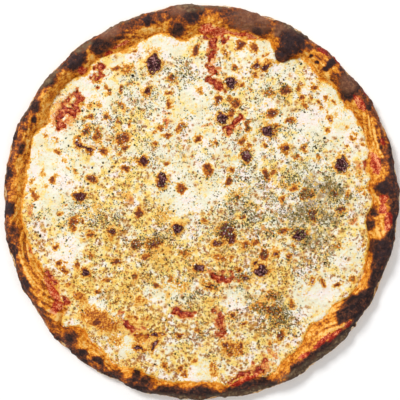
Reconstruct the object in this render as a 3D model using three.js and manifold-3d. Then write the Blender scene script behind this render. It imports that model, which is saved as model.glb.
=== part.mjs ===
// A round cheese pizza, whole and uncut: a baked dough base with a puffed and blistered rim,
// a thin layer of tomato sauce, and melted cheese with browned blisters and dried herb flakes.
// Millimetres, +Z up. The underside lies on z = 0 and the middle is at x = y = 0.
import * as THREE from "three";
import { mergeVertices } from "three/addons/utils/BufferGeometryUtils.js";
import Module from "manifold-3d";

const wasm = await Module();
wasm.setup();

// Driving dimensions, mm
const PIZZA_RADIUS = 160;
const CHEESE_RADIUS = 144; // where the cheese ends on the rim, before the rim's lobes
const BASE_THICKNESS = 4;
const SAUCE_THICKNESS = 1;
const CHEESE_THICKNESS = 2.2;
const RIM_HEIGHT = 14.6;
const WIDEST_HEIGHT = 7.5; // height of the rim's outermost line
const UNDERSIDE_INSET = 11; // from the rim's outermost line in to the flat underside
const CREST_INSET = 8; // from the rim's outermost line in to its crest, at most half its width
const EDGE_HEIGHT = 6.3; // height on the rim's inner slope where the cheese ends
const FOOT_WIDTH = 8; // from the cheese's edge in to the flat floor of the base
const GAP = 0.3; // between neighbours that meet on a curved face
const SAUCE_RISE = 1.4; // how far the sauce wells up where it shows through the cheese
const RIM_LUMP = 0.9;
const CHEESE_WAVE = 0.35;
const CHEESE_LIP = 0.5; // thickness of the cheese at its edge
const CHEESE_CELL = 13; // side of one cell of the cheese's wavy top
const BLISTER_SINK = 1; // how far a blister's solid reaches into the cheese
const RIM_BLISTER_SINK = 3; // and into the rim's skin
const FLAKE_COUNT = 78;
const FLAKE_LENGTH = 2.6;
const RANDOM_SEED = 11;

// Levels that follow from them
const FLOOR = BASE_THICKNESS;
const SAUCE_TOP = FLOOR + SAUCE_THICKNESS;
const CHEESE_TOP = SAUCE_TOP + CHEESE_THICKNESS;

const STEPS = 144; // round the pizza

// Where the rim swells in over the cheese: direction and half-width in degrees, mm inwards
const RIM_LOBES = [
  [4.5, 2.5, 7],
  [12, 3.5, 5.5],
  [35, 3, 2.5],
  [47, 3, 4.5],
  [61, 3, 13],
  [76, 5, 6.5],
  [86, 3.5, 9.5],
  [96, 4.5, 11],
  [109, 4, 3.5],
  [117, 5, 5],
  [132, 2, 4],
  [142, 5, -2.2],
  [152.5, 2, 4.5],
  [158.5, 3, -3],
  [184, 4, -2.5],
  [200, 4, 1.5],
  [211, 7, 7],
  [221.5, 2, -8.5],
  [227.5, 2.5, 3],
  [242.5, 4, -5.5],
  [260, 7, -5],
  [278, 4, -6.5],
  [291.5, 4, -7.5],
  [312, 5, 9.5],
  [322, 4, 6.5],
  [344, 4, 2],
  [354, 4.5, 9.5],
];

// Glossy blisters that stand on the rim: direction in degrees, distance from the middle,
// half-length along the rim, half-width across it and height above it
const RIM_BLISTERS = [
  [60.5, 147, 9.5, 10, 3.6],
  [61, 135.5, 6, 5.5, 3],
];

// Soft puffs of the rim, by the same five numbers
const RIM_PUFFS = [
  [5, 145, 5, 8, 2.2],
  [38.5, 153, 9, 7, 1.6],
  [76, 150, 19, 7, 1.6],
  [93, 149, 8, 9, 2],
  [117, 153, 12, 7, 1.8],
  [131, 151, 8, 7, 1.8],
  [150, 152.5, 5, 4.5, 1.4],
  [205.5, 155, 5, 4, 1.2],
  [226, 151, 6, 5, 1.6],
  [250, 150, 6, 5, 1.2],
  [308, 148, 7, 8, 1.4],
  [323, 146.5, 10, 7, 2.2],
  [346, 146, 6, 8, 1.6],
  [356, 140, 5, 6, 1.6],
];

// Where the sauce shows through the cheese or at the rim's foot: each a spine of
// x, y and half-width
const SAUCE_STREAKS = [
  [[-114, 64, 3.5], [-111, 72, 6], [-104, 76, 6], [-101, 85, 4.5]],
  [[-84, 98, 2.2], [-82, 105, 2.8], [-81, 111, 2]],
  [[4, 133, 2.4], [12, 132, 3], [20, 132, 2.2]],
  [[10, 128, 1.8], [8, 119, 2.4], [8, 111, 2.6], [13, 106, 1.8]],
  [[8, 100, 1.8], [13, 96, 2.6], [18, 92, 1.8]],
  [[24, 60, 3.2], [28, 64, 4.2], [33, 69, 2.4]],
  [[133, 25, 2], [134, 32, 2.6], [133, 39, 2]],
  [[-124, -58, 1.8], [-117, -70, 2.4], [-110, -83, 2.2]],
  [[-65, -94, 2], [-55, -102, 2.6], [-45, -109, 2]],
  [[12, -60, 2.4], [19, -61, 2.8], [30, -61, 1.8]],
  [[-20, -87, 2.6], [-12, -90, 2.2], [-6, -92, 1.4]],
  [[13, -88, 1.6], [15, -98, 2], [18, -109, 1.6]],
  [[24, -145, 1.8], [36, -141, 3], [44, -137, 4], [53, -128, 2.2]],
];

// Large browned blisters of the cheese: x, y, radius and height
const DARK_BLISTERS = [
  [-38, 112, 8, 2.2],
  [24, 97, 5, 1.6],
  [17, 68, 5.5, 1.8],
  [54, 58, 5.5, 2],
  [36, 37, 6, 1.6],
  [114, 31, 6, 1.8],
  [-31, 18, 6, 1.8],
  [-98, 4, 7, 1.6],
  [-95, 45, 6, 1.2],
  [-72, -24, 6, 1.4],
  [-18, -21, 5, 1.6],
  [80, -26, 6.5, 1.8],
  [49, -55, 6, 2],
  [-92, -57, 6.5, 1.4],
  [69, 43, 4, 1.2],
  [-47, 34, 6, 1],
  [-43, 90, 5, 1.2],
  [-2, -52, 5, 1.2],
  [18, -26, 6.5, 1.4],
  [63, -95, 6, 1.4],
  [113, -6, 4.5, 1.2],
  [54, 112, 5.5, 1.8],
  [-44, -118, 6, 1.4],
  [-80, -98, 14, 2.2],
  [60, -41, 4, 1.2],
];

// Small golden blisters of the cheese: x, y and radius
const SMALL_BLISTERS = [
  [-83, 55, 5],
  [-88, 18, 4.5],
  [-64, 52, 4.5],
  [-60, 108, 5.5],
  [6, 26, 4.5],
  [57, 72, 4.2],
  [56, 89, 4.6],
  [84, 80, 3.8],
  [75, 8, 3.8],
  [-104, -16, 4],
  [-68, -48, 4],
  [-97, -76, 4.6],
  [-53, -35, 4],
  [-50, -80, 4],
  [37, -34, 4.6],
  [48, -84, 4.6],
  [22, -116, 4],
  [124, -60, 3.8],
];

// Where the dried herbs lie thickest: x, y and radius
const HERB_ZONES = [
  [95, -10, 25],
  [100, 15, 18],
  [60, -90, 16],
  [-35, -30, 16],
  [18, -25, 16],
  [-90, -15, 22],
  [60, 88, 17],
  [40, 20, 30],
  [85, 30, 25],
  [50, 0, 25],
  [-45, 85, 16],
  [-10, 105, 15],
  [0, 0, 120],
];

function radians(degrees) {
  return (degrees * Math.PI) / 180;
}

// 1 at the centre of a bump, a half at its half-width
function bump(distance, halfWidth) {
  return Math.pow(0.5, (distance / halfWidth) ** 2);
}

// The sum of sine waves round the pizza, each of [cycles, phase, share]
function ripple(angle, waves) {
  return waves.reduce((sum, [cycles, phase, share]) => sum + share * Math.sin(cycles * angle + phase), 0);
}

// The smaller turn from one direction to another, in radians
function turnBetween(from, to) {
  return Math.atan2(Math.sin(to - from), Math.cos(to - from));
}

// How far the rim swells in over the cheese at an angle in radians, mm
function rimSwell(angle) {
  return RIM_LOBES.reduce((sum, [direction, halfWidth, inwards]) => {
    return sum + inwards * bump(turnBetween(angle, radians(direction)), radians(halfWidth));
  }, 0);
}

function rimOuter(angle) {
  return PIZZA_RADIUS + ripple(angle, [[5, 0.4, 0.5], [11, 2.0, 0.35], [23, 1.1, 0.3]]);
}

function rimInner(angle) {
  return CHEESE_RADIUS - rimSwell(angle);
}

function rimHeight(angle) {
  const waves = ripple(angle, [[3, 0.8, 0.9], [7, 2.4, 0.8], [16, 0.2, 0.8]]);
  return RIM_HEIGHT + waves + 0.14 * rimSwell(angle);
}

// Lumps of the rim's skin, mm; row counts the points of the skin from its outermost line
function rimLump(angle, row) {
  return RIM_LUMP * ripple(angle, [[23, 1.3 * row, 0.6], [37, 2.1 * row + 1, 0.5], [53, 3.4 * row, 0.4]]);
}

// How far the soft puffs lift the rim's skin, mm
function puffRise(angle, distance) {
  return RIM_PUFFS.reduce((sum, [direction, middle, halfLength, halfWidth, height]) => {
    const along = distance * turnBetween(angle, radians(direction));
    return sum + height * bump(along, halfLength) * bump(distance - middle, halfWidth);
  }, 0);
}

// The rim's skin at one angle, from its outermost line over the crest to the cheese's edge,
// as [radius, height]
function rimSkin(angle) {
  const outer = rimOuter(angle);
  const inner = rimInner(angle);
  const height = rimHeight(angle);
  const crest = outer - Math.min(CREST_INSET, (outer - inner) / 2);
  const rise = height - WIDEST_HEIGHT;
  const slope = height - EDGE_HEIGHT;
  return [
    [outer, WIDEST_HEIGHT],
    [outer - 0.15 * (outer - crest), WIDEST_HEIGHT + 0.5 * rise],
    [outer - 0.5 * (outer - crest), WIDEST_HEIGHT + 0.88 * rise],
    [crest, height],
    [crest - 0.3 * (crest - inner), EDGE_HEIGHT + 0.9 * slope],
    [crest - 0.6 * (crest - inner), EDGE_HEIGHT + 0.62 * slope],
    [crest - 0.85 * (crest - inner), EDGE_HEIGHT + 0.25 * slope],
  ].map(([radius, z], row) => {
    const lift = rimLump(angle, row);
    return [radius + 0.4 * lift, z + lift + puffRise(angle, radius)];
  });
}

// The whole crust's section at one angle, from the middle of the underside round the rim
// and back to the middle of the floor
function crustSection(angle) {
  const outer = rimOuter(angle);
  const inner = rimInner(angle);
  return [
    [0, 0],
    [outer - UNDERSIDE_INSET, 0],
    [outer - 0.5 * UNDERSIDE_INSET, 0.13 * WIDEST_HEIGHT],
    [outer - 0.15 * UNDERSIDE_INSET, 0.5 * WIDEST_HEIGHT],
    ...rimSkin(angle),
    [inner, EDGE_HEIGHT],
    [inner - 0.5 * FOOT_WIDTH, FLOOR + 0.3 * (EDGE_HEIGHT - FLOOR)],
    [inner - FOOT_WIDTH, FLOOR],
    [0, FLOOR],
  ];
}

// Height of the crust's upper skin at an angle and a distance from the middle
function skinHeight(angle, distance) {
  const points = [...rimSkin(angle), [rimInner(angle), EDGE_HEIGHT]];
  const k = Math.max(1, points.findIndex(([radius]) => radius <= distance));
  const [r0, z0] = points[k - 1];
  const [r1, z1] = points[k];
  return z0 + ((distance - r0) / (r1 - r0)) * (z1 - z0);
}

// Soft hills and dips of the melted cheese
function cheeseHeight(x, y) {
  const across = Math.sin(x / 9 + 1.2 * Math.sin(y / 14));
  const along = Math.cos(y / 8 + 1.5 * Math.sin(x / 12 + 1));
  return CHEESE_TOP + CHEESE_WAVE * (across + 0.9 * along);
}

// A solid of revolution whose section changes with the angle: sectionAt gives the same
// number of [radius, height] points at every angle, from the axis to the axis
function variedLathe(sectionAt, steps) {
  const rows = sectionAt(0).length;
  const nominal = sectionAt(0).map(([radius, z]) => new THREE.Vector2(radius, z));
  const geometry = new THREE.LatheGeometry(nominal, steps);
  const position = geometry.getAttribute("position");
  for (let step = 0; step <= steps; step++) {
    const angle = ((step % steps) * 2 * Math.PI) / steps;
    sectionAt(angle).forEach(([radius, z], row) => {
      position.setXYZ(step * rows + row, radius * Math.cos(angle), radius * Math.sin(angle), z);
    });
  }
  return geometry;
}

// A three.js geometry as a solid that can be joined and cut
function solidOf(geometry) {
  const bare = geometry.clone();
  bare.deleteAttribute("normal");
  bare.deleteAttribute("uv");
  const merged = mergeVertices(bare, 1e-4);
  const triVerts = new Uint32Array(merged.index.array);
  const vertProperties = new Float32Array(merged.getAttribute("position").array);
  return new wasm.Manifold(new wasm.Mesh({ numProp: 3, vertProperties, triVerts }));
}

// A solid's largest body, without loose scraps
function largestBody(solid) {
  return solid.decompose().reduce((best, body) => (body.volume() > best.volume() ? body : best));
}

function joined(solid, additions) {
  return additions.reduce((sum, addition) => sum.add(addition), solid);
}

function geometryOf(solid) {
  const { vertProperties, triVerts, numProp } = solid.getMesh();
  const points = new Float32Array((vertProperties.length / numProp) * 3);
  for (let k = 0; k < points.length / 3; k++) {
    points.set(vertProperties.subarray(k * numProp, k * numProp + 3), k * 3);
  }
  const geometry = new THREE.BufferGeometry();
  geometry.setAttribute("position", new THREE.BufferAttribute(points, 3));
  geometry.setIndex(new THREE.BufferAttribute(triVerts, 1));
  geometry.computeVertexNormals();
  return geometry;
}

// A round lump, squashed to its three half-sizes, turned and put in place
function lump([halfX, halfY, halfZ], turnZ, [x, y, z], sides, rings) {
  const geometry = new THREE.SphereGeometry(1, sides, rings);
  geometry.rotateX(Math.PI / 2);
  geometry.scale(halfX, halfY, halfZ);
  geometry.rotateZ(turnZ);
  geometry.translate(x, y, z);
  return solidOf(geometry);
}

// One glossy blister, its lower part sunk in the rim's skin, grown by a margin
function rimBlister([direction, distance, halfLength, halfWidth, height], margin) {
  const angle = radians(direction);
  const z = skinHeight(angle, distance) - RIM_BLISTER_SINK;
  const place = [distance * Math.cos(angle), distance * Math.sin(angle), z];
  const halfSizes = [halfWidth + margin, halfLength + margin, height + RIM_BLISTER_SINK + margin];
  return lump(halfSizes, angle, place, 10, 6);
}

// A wavy outline round a spine of [x, y, halfWidth] points, grown by a margin
function streakShape(spine, margin) {
  const left = [];
  const right = [];
  spine.forEach(([x, y, halfWidth], k) => {
    const before = spine[Math.max(k - 1, 0)];
    const after = spine[Math.min(k + 1, spine.length - 1)];
    const along = new THREE.Vector3(after[0] - before[0], after[1] - before[1], 0).normalize();
    const across = new THREE.Vector3(-along.y, along.x, 0).multiplyScalar(halfWidth + margin);
    const middle = new THREE.Vector3(x, y, 0);
    const end = along.clone().multiplyScalar(halfWidth + margin);
    if (k === 0) left.push(middle.clone().sub(end));
    left.push(middle.clone().add(across));
    right.unshift(middle.clone().sub(across));
    if (k === spine.length - 1) left.push(middle.clone().add(end));
  });
  const loop = new THREE.CatmullRomCurve3([...left, ...right], true);
  const points = loop.getPoints(2 * (left.length + right.length)).slice(0, -1);
  return new THREE.Shape(points.map(({ x, y }) => new THREE.Vector2(x, y)));
}

// A streak as an upright solid between two heights
function streakSolid(spine, margin, from, to) {
  const geometry = new THREE.ExtrudeGeometry(streakShape(spine, margin), {
    depth: to - from,
    bevelEnabled: false,
  });
  geometry.translate(0, 0, from);
  return solidOf(geometry);
}

// A low dome of browned cheese
function blister([x, y, radius, height]) {
  const sides = radius > 5 ? 10 : 7;
  const profile = [
    [0, -BLISTER_SINK],
    [1.12 * radius, -BLISTER_SINK],
    [0.72 * radius, 0.8 * height],
    [0, height],
  ].map(([r, z]) => new THREE.Vector2(r, z));
  const geometry = new THREE.LatheGeometry(profile, sides);
  geometry.rotateX(Math.PI / 2);
  geometry.translate(x, y, cheeseHeight(x, y));
  return solidOf(geometry);
}

function smallBlister([x, y, radius]) {
  return blister([x, y, radius, 0.17 * radius]);
}

// The same row of draws from 0 to 1 at every run
function seededDraw(seed) {
  let state = seed;
  return () => {
    state = (state * 1664525 + 1013904223) % 4294967296;
    return state / 4294967296;
  };
}

// Whether a place on the cheese is clear of the sauce that shows and of the edge
function liesOnCheese(x, y, clearance) {
  const inside = Math.hypot(x, y) < rimInner(Math.atan2(y, x)) - 3 * clearance;
  const nearSauce = SAUCE_STREAKS.flat().some(([sauceX, sauceY, halfWidth]) => {
    return Math.hypot(x - sauceX, y - sauceY) < halfWidth + 2 * clearance;
  });
  return inside && !nearSauce;
}

// Where the larger herb flakes lie, thickest in the herb zones
function flakePlaces(draw) {
  const places = [];
  while (places.length < FLAKE_COUNT) {
    const [zoneX, zoneY, zoneRadius] = HERB_ZONES[Math.floor(draw() * HERB_ZONES.length)];
    const reach = zoneRadius * Math.sqrt(draw());
    const angle = 2 * Math.PI * draw();
    const x = zoneX + reach * Math.cos(angle);
    const y = zoneY + reach * Math.sin(angle);
    const apart = places.every(([px, py]) => Math.hypot(px - x, py - y) > 2 * FLAKE_LENGTH);
    if (apart && liesOnCheese(x, y, FLAKE_LENGTH)) places.push([x, y]);
  }
  return places;
}

// One dried herb flake, pressed into the cheese
function herbFlake([x, y], draw) {
  const halfLength = 0.5 * FLAKE_LENGTH * (0.7 + 0.5 * draw());
  const halfWidth = halfLength * (0.45 + 0.3 * draw());
  const place = [x, y, cheeseHeight(x, y) + 0.15];
  return lump([halfLength, halfWidth, 0.7], 2 * Math.PI * draw(), place, 6, 3);
}

function crustSolid() {
  const body = solidOf(variedLathe(crustSection, STEPS));
  return largestBody(joined(body, RIM_BLISTERS.map((one) => rimBlister(one, 0))));
}

// The crust drawn in towards the middle, so that what it cuts keeps a gap to it
function crustCutter(crust) {
  const shrink = 1 - GAP / CHEESE_RADIUS;
  return crust.add(crust.scale([shrink, shrink, 1]));
}

// The sauce's section at one angle: a flat sheet that widens a little up the rim's foot
function sauceSection(angle) {
  const inner = rimInner(angle);
  return [
    [0, FLOOR],
    [inner - FOOT_WIDTH - GAP, FLOOR],
    [inner - 0.5 * FOOT_WIDTH - 2 * GAP, SAUCE_TOP],
    [0, SAUCE_TOP],
  ];
}

function sauceSolid(cutter) {
  const sheet = solidOf(variedLathe(sauceSection, STEPS));
  const from = SAUCE_TOP - 0.5 * SAUCE_THICKNESS;
  const wells = SAUCE_STREAKS.map((spine) => {
    return streakSolid(spine, -GAP, from, SAUCE_TOP + SAUCE_RISE).subtract(cutter);
  });
  return largestBody(joined(sheet, wells));
}

// The section at one angle of the room that the cheese has: flat below, then up the rim's foot
function cheeseRoomSection(angle) {
  const inner = rimInner(angle);
  return [
    [0, SAUCE_TOP],
    [inner - 0.5 * FOOT_WIDTH - 2 * GAP, SAUCE_TOP],
    [inner - 2 * GAP, EDGE_HEIGHT + GAP],
    [inner - GAP, EDGE_HEIGHT + GAP + CHEESE_LIP],
    [inner - FOOT_WIDTH, 2 * CHEESE_TOP],
    [0, 2 * CHEESE_TOP],
  ];
}

// A square block, flat below, whose top takes the hills and dips of the cheese
function wavyBlock() {
  const side = 2 * PIZZA_RADIUS;
  const cells = Math.round(side / CHEESE_CELL);
  const geometry = new THREE.BoxGeometry(side, side, 1, cells, cells, 1);
  const position = geometry.getAttribute("position");
  for (let k = 0; k < position.count; k++) {
    const top = cheeseHeight(position.getX(k), position.getY(k));
    position.setZ(k, position.getZ(k) > 0 ? top : 0.5 * SAUCE_TOP);
  }
  return solidOf(geometry);
}

function cheeseSolid() {
  const draw = seededDraw(RANDOM_SEED);
  const sheet = wavyBlock().intersect(solidOf(variedLathe(cheeseRoomSection, STEPS)));
  const blisters = [...DARK_BLISTERS.map(blister), ...SMALL_BLISTERS.map(smallBlister)];
  const flakes = flakePlaces(draw).map((place) => herbFlake(place, draw));
  const covered = joined(joined(sheet, blisters), flakes);
  const holes = SAUCE_STREAKS.map((spine) => streakSolid(spine, 0, FLOOR, 2 * CHEESE_TOP));
  const dents = RIM_BLISTERS.map((one) => rimBlister(one, GAP));
  return largestBody([...holes, ...dents].reduce((rest, hole) => rest.subtract(hole), covered));
}

function piece(name, solid, color, roughness) {
  const material = new THREE.MeshStandardMaterial({ color, roughness, metalness: 0 });
  const mesh = new THREE.Mesh(geometryOf(solid), material);
  mesh.name = name;
  return mesh;
}

const crust = crustSolid();
const cutter = crustCutter(crust);

const pizza = new THREE.Group();
pizza.add(
  piece("crust", crust, 0x8a5a34, 0.8),
  piece("sauce", sauceSolid(cutter), 0xb8401c, 0.35),
  piece("cheese", cheeseSolid(), 0xf1e3b8, 0.4),
);

export default pizza;
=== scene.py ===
import itertools
import math

import bpy
import numpy as np
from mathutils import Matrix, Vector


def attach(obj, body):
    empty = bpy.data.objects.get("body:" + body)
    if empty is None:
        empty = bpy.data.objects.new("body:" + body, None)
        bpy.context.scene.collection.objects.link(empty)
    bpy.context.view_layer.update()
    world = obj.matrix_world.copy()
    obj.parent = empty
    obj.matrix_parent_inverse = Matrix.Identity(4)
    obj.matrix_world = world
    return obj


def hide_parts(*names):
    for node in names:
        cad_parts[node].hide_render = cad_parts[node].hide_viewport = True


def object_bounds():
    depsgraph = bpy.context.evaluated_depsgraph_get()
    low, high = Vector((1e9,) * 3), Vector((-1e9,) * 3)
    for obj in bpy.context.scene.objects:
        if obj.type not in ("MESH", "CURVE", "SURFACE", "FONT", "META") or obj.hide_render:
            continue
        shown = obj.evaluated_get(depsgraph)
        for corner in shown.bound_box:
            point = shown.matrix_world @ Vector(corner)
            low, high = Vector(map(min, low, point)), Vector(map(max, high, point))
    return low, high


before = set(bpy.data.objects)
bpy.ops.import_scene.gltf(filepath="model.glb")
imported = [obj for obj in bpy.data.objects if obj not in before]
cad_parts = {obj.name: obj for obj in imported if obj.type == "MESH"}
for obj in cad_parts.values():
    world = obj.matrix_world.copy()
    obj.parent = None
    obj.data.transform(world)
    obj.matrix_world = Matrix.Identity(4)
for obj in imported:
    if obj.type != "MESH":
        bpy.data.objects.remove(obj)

cad_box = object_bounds()

MM = 0.001

# Sizes of the solids
PIZZA_RADIUS = 160
CHEESE_RADIUS = 144
FLOOR = 4
SAUCE_TOP = 5
CHEESE_TOP = 7.2
RIM_HEIGHT = 14.6
WIDEST_HEIGHT = 7.5
UNDERSIDE_INSET = 11
CREST_INSET = 8
EDGE_HEIGHT = 6.3
FOOT_WIDTH = 8
GAP = 0.3
SAUCE_RISE = 1.4
RIM_LUMP = 0.9
RIM_BLISTER_SINK = 3
CHEESE_WAVE = 0.35
FLAKE_COUNT = 78
FLAKE_LENGTH = 2.6
RANDOM_SEED = 11

# Fineness of the meshes: steps round the rim, radii of the crust's rings inside the rim, rings
# between two control points of its section, and the side of a cell in the sheets
RIM_STEPS = 1120
INNER_RINGS = [20, 55, 90, 120]
RINGS_BETWEEN_POINTS = [1, 4, 5, 5, 5, 5, 5, 9, 9, 8, 5, 3, 2, 1]
CHEESE_CELL = 0.9
SAUCE_CELL = 1.15
BORDER_PASSES = 3
SMOOTH_BELOW_ANGLE = 55

# Strewn bits: how many, and the usual half-length or radius of one
LEAF_COUNT, LEAF_HALF_LENGTH = 8500, 0.58
STALK_COUNT, STALK_HALF_LENGTH = 1400, 0.85
CRUMB_COUNT, CRUMB_RADIUS = 4000, 0.4
GRANULE_COUNT, GRANULE_RADIUS = 3600, 0.46
LEAF_LIFT, STALK_LIFT, CRUMB_LIFT = 0.05, 0.12, 0.1
BIT_TILT = 0.3

# Where the rim swells in over the cheese: direction, half-width in degrees, mm inwards
RIM_LOBES = [
    (4.5, 2.5, 7), (12, 3.5, 5.5), (35, 3, 2.5), (47, 3, 4.5), (61, 3, 13), (76, 5, 6.5),
    (86, 3.5, 9.5), (96, 4.5, 11), (109, 4, 3.5), (117, 5, 5), (132, 2, 4), (142, 5, -2.2),
    (152.5, 2, 4.5), (158.5, 3, -3), (184, 4, -2.5), (200, 4, 1.5), (211, 7, 7),
    (221.5, 2, -8.5), (227.5, 2.5, 3), (242.5, 4, -5.5), (260, 7, -5), (278, 4, -6.5),
    (291.5, 4, -7.5), (312, 5, 9.5), (322, 4, 6.5), (344, 4, 2), (354, 4.5, 9.5),
]

# Glossy dark blisters that stand on the rim: direction, distance from the middle, half-length
# along the rim, half-width across it, height above it
RIM_BLISTERS = [(60.5, 147, 9.5, 10, 3.6), (61, 135.5, 6, 5.5, 3)]

# Soft puffs of the rim, by the same five numbers
RIM_PUFFS = [
    (5, 145, 5, 8, 2.2), (38.5, 153, 9, 7, 1.6), (76, 150, 19, 7, 1.6), (93, 149, 8, 9, 2),
    (117, 153, 12, 7, 1.8), (131, 151, 8, 7, 1.8), (150, 152.5, 5, 4.5, 1.4),
    (205.5, 155, 5, 4, 1.2), (226, 151, 6, 5, 1.6), (250, 150, 6, 5, 1.2),
    (308, 148, 7, 8, 1.4), (323, 146.5, 10, 7, 2.2), (346, 146, 6, 8, 1.6),
    (356, 140, 5, 6, 1.6),
]

# Where the sauce shows: spines of x, y and half-width
SAUCE_STREAKS = [
    [(-114, 64, 3.5), (-111, 72, 6), (-104, 76, 6), (-101, 85, 4.5)],
    [(-84, 98, 2.2), (-82, 105, 2.8), (-81, 111, 2)],
    [(4, 133, 2.4), (12, 132, 3), (20, 132, 2.2)],
    [(10, 128, 1.8), (8, 119, 2.4), (8, 111, 2.6), (13, 106, 1.8)],
    [(8, 100, 1.8), (13, 96, 2.6), (18, 92, 1.8)],
    [(24, 60, 3.2), (28, 64, 4.2), (33, 69, 2.4)],
    [(133, 25, 2), (134, 32, 2.6), (133, 39, 2)],
    [(-124, -58, 1.8), (-117, -70, 2.4), (-110, -83, 2.2)],
    [(-65, -94, 2), (-55, -102, 2.6), (-45, -109, 2)],
    [(12, -60, 2.4), (19, -61, 2.8), (30, -61, 1.8)],
    [(-20, -87, 2.6), (-12, -90, 2.2), (-6, -92, 1.4)],
    [(13, -88, 1.6), (15, -98, 2), (18, -109, 1.6)],
    [(24, -145, 1.8), (36, -141, 3), (44, -137, 4), (53, -128, 2.2)],
]

# Islands of cheese in the sauce: x, y, half-length, half-width, turn
CHEESE_ISLANDS = [
    (-107, 77.6, 4.6, 1.5, -32), (-109.8, 68.6, 4, 1.6, 42), (-103.5, 83, 3.8, 2.2, 40),
    (-84, 105, 2, 1.6, 80), (31, 62, 3, 2, 30), (9, 114, 1.8, 2.4, 0),
    (40, -138, 2.4, 1.2, 20), (-113, -78, 1.6, 2.4, 20), (16, 132, 2, 1.4, 0),
    (12, -92, 1.4, 2, 0), (15, 127, 3, 1.2, 60), (-50, -105, 2.6, 0.9, -40),
    (31, -143, 4, 0.8, 22), (22, -60, 1.6, 1.2, 0),
]

# Large browned blisters of the cheese: x, y, radius, height
DARK_BLISTERS = [
    (-38, 112, 8, 2.2), (24, 97, 5, 1.6), (17, 68, 5.5, 1.8), (54, 58, 5.5, 2),
    (36, 37, 6, 1.6), (114, 31, 6, 1.8), (-31, 18, 6, 1.8), (-98, 4, 7, 1.6),
    (-95, 45, 6, 1.2), (-72, -24, 6, 1.4), (-18, -21, 5, 1.6), (80, -26, 6.5, 1.8),
    (49, -55, 6, 2), (-92, -57, 6.5, 1.4), (69, 43, 4, 1.2), (-47, 34, 6, 1),
    (-43, 90, 5, 1.2), (-2, -52, 5, 1.2), (18, -26, 6.5, 1.4), (63, -95, 6, 1.4),
    (113, -6, 4.5, 1.2), (54, 112, 5.5, 1.8), (-44, -118, 6, 1.4), (-80, -98, 14, 2.2),
    (60, -41, 4, 1.2),
]

# Small golden blisters of the cheese: x, y, radius
SMALL_BLISTERS = [
    (-83, 55, 5), (-88, 18, 4.5), (-64, 52, 4.5), (-60, 108, 5.5), (6, 26, 4.5),
    (57, 72, 4.2), (56, 89, 4.6), (84, 80, 3.8), (75, 8, 3.8), (-104, -16, 4),
    (-68, -48, 4), (-97, -76, 4.6), (-53, -35, 4), (-50, -80, 4), (37, -34, 4.6),
    (48, -84, 4.6), (22, -116, 4), (124, -60, 3.8),
]

# Where the larger herb flakes lie thickest: x, y, radius
HERB_ZONES = [
    (95, -10, 25), (100, 15, 18), (60, -90, 16), (-35, -30, 16), (18, -25, 16),
    (-90, -15, 22), (60, 88, 17), (40, 20, 30), (85, 30, 25), (50, 0, 25),
    (-45, 85, 16), (-10, 105, 15), (0, 0, 120),
]

# ---------------------------------------------------------------------------
# Where each colour lies
# ---------------------------------------------------------------------------

# How far from the middle the charred band of the rim begins, direction by direction
CHAR_LINE = [
    (0, 152), (2, 151), (3, 144), (4.5, 140.5), (6, 145.5), (8, 152), (12, 154.5), (16, 155),
    (18, 158.5), (20, 161), (28, 160), (33.5, 161), (34, 153.5), (36, 145.5), (38, 149),
    (42, 151), (44, 153.5), (45, 161), (57, 158.5), (58, 153.5), (62, 146), (66, 146),
    (67, 158), (87, 159), (88, 153.5), (90, 148.5), (92, 146), (94, 145.5), (96, 150),
    (98, 153.5), (100, 152), (104, 150), (106, 148.5), (109, 150), (112, 152), (114, 148),
    (117, 146), (120, 143), (122, 142), (124, 146), (125, 157.5), (127, 153.5), (128, 148.5),
    (130, 146), (132, 146), (134, 148.5), (136, 153.5), (137, 157.5), (139, 153.5), (142, 152),
    (144, 156), (146, 160), (148, 153.5), (150, 148.5), (152, 155), (154, 156), (158, 158.5),
    (160, 157), (162, 160), (165, 161), (169, 158.5), (171, 152), (173, 154.5), (175, 159),
    (178, 161), (180, 153.5), (182, 151), (184, 156), (186, 159), (191, 159), (193, 152.5),
    (196, 153.5), (198, 159), (202, 158.5), (204, 153.5), (206, 152.5), (208, 157.5),
    (210, 156), (212, 158.5), (215, 159), (220, 161), (224, 157.5), (226, 159), (229, 156),
    (231, 151), (233, 152), (235, 158.5), (239, 159), (241, 155), (243, 152), (245, 153.5),
    (247, 158.5), (249, 153.5), (252, 153.5), (255, 157.5), (257, 152), (259, 150.5),
    (263, 151), (267, 150.5), (269, 148.5), (272, 148.5), (274, 151), (276, 153.5),
    (280, 151), (284, 148.5), (287, 149.5), (290, 150.5), (291, 153.5), (293, 157.5),
    (296, 159), (298, 153.5), (300, 149.5), (303, 150.5), (306, 149.5), (310, 149.5),
    (314, 152), (318, 153.5), (322, 154.5), (322.5, 145.5), (325, 142), (328, 144),
    (330, 148), (333, 151), (336, 148.5), (339, 148.5), (342, 147), (344, 144), (346, 141.5),
    (347.5, 142), (348, 147), (350, 150.5), (353, 153.5), (356, 152.5), (358, 152),
]

# How dark that band is, direction by direction
CHAR_DEPTH = [
    (0, 0.95), (10, 0.9), (30, 0.8), (45, 0.85), (60, 1.0), (67, 0.6), (84, 0.5), (90, 0.75),
    (94, 0.8), (98, 0.5), (104, 0.7), (110, 0.55), (118, 0.55), (123, 0.7), (131, 0.8),
    (140, 0.75), (160, 0.85), (185, 0.95), (230, 0.85), (240, 1.05), (290, 1.1),
    (340, 1.1), (350, 1.0),
]

# How browned the rim is where nothing has burnt it, and how much each kind of burning adds
BARE_BROWNING = 0.22
FULL_BURN = 0.6
CREST_SHARE = 0.55
BROWN_SHARE = 0.62

# Where fibres of the rim lie bare: direction, distance, half-length along, half-width across
STRAND_ZONES = [
    (211, 146, 26, 9), (318, 145, 26, 8), (110, 147, 18, 5), (20, 150, 24, 6), (190, 149, 30, 5),
    (48, 146, 14, 5), (345, 146, 14, 5), (240, 149, 14, 4), (160, 148, 24, 4),
]

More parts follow.
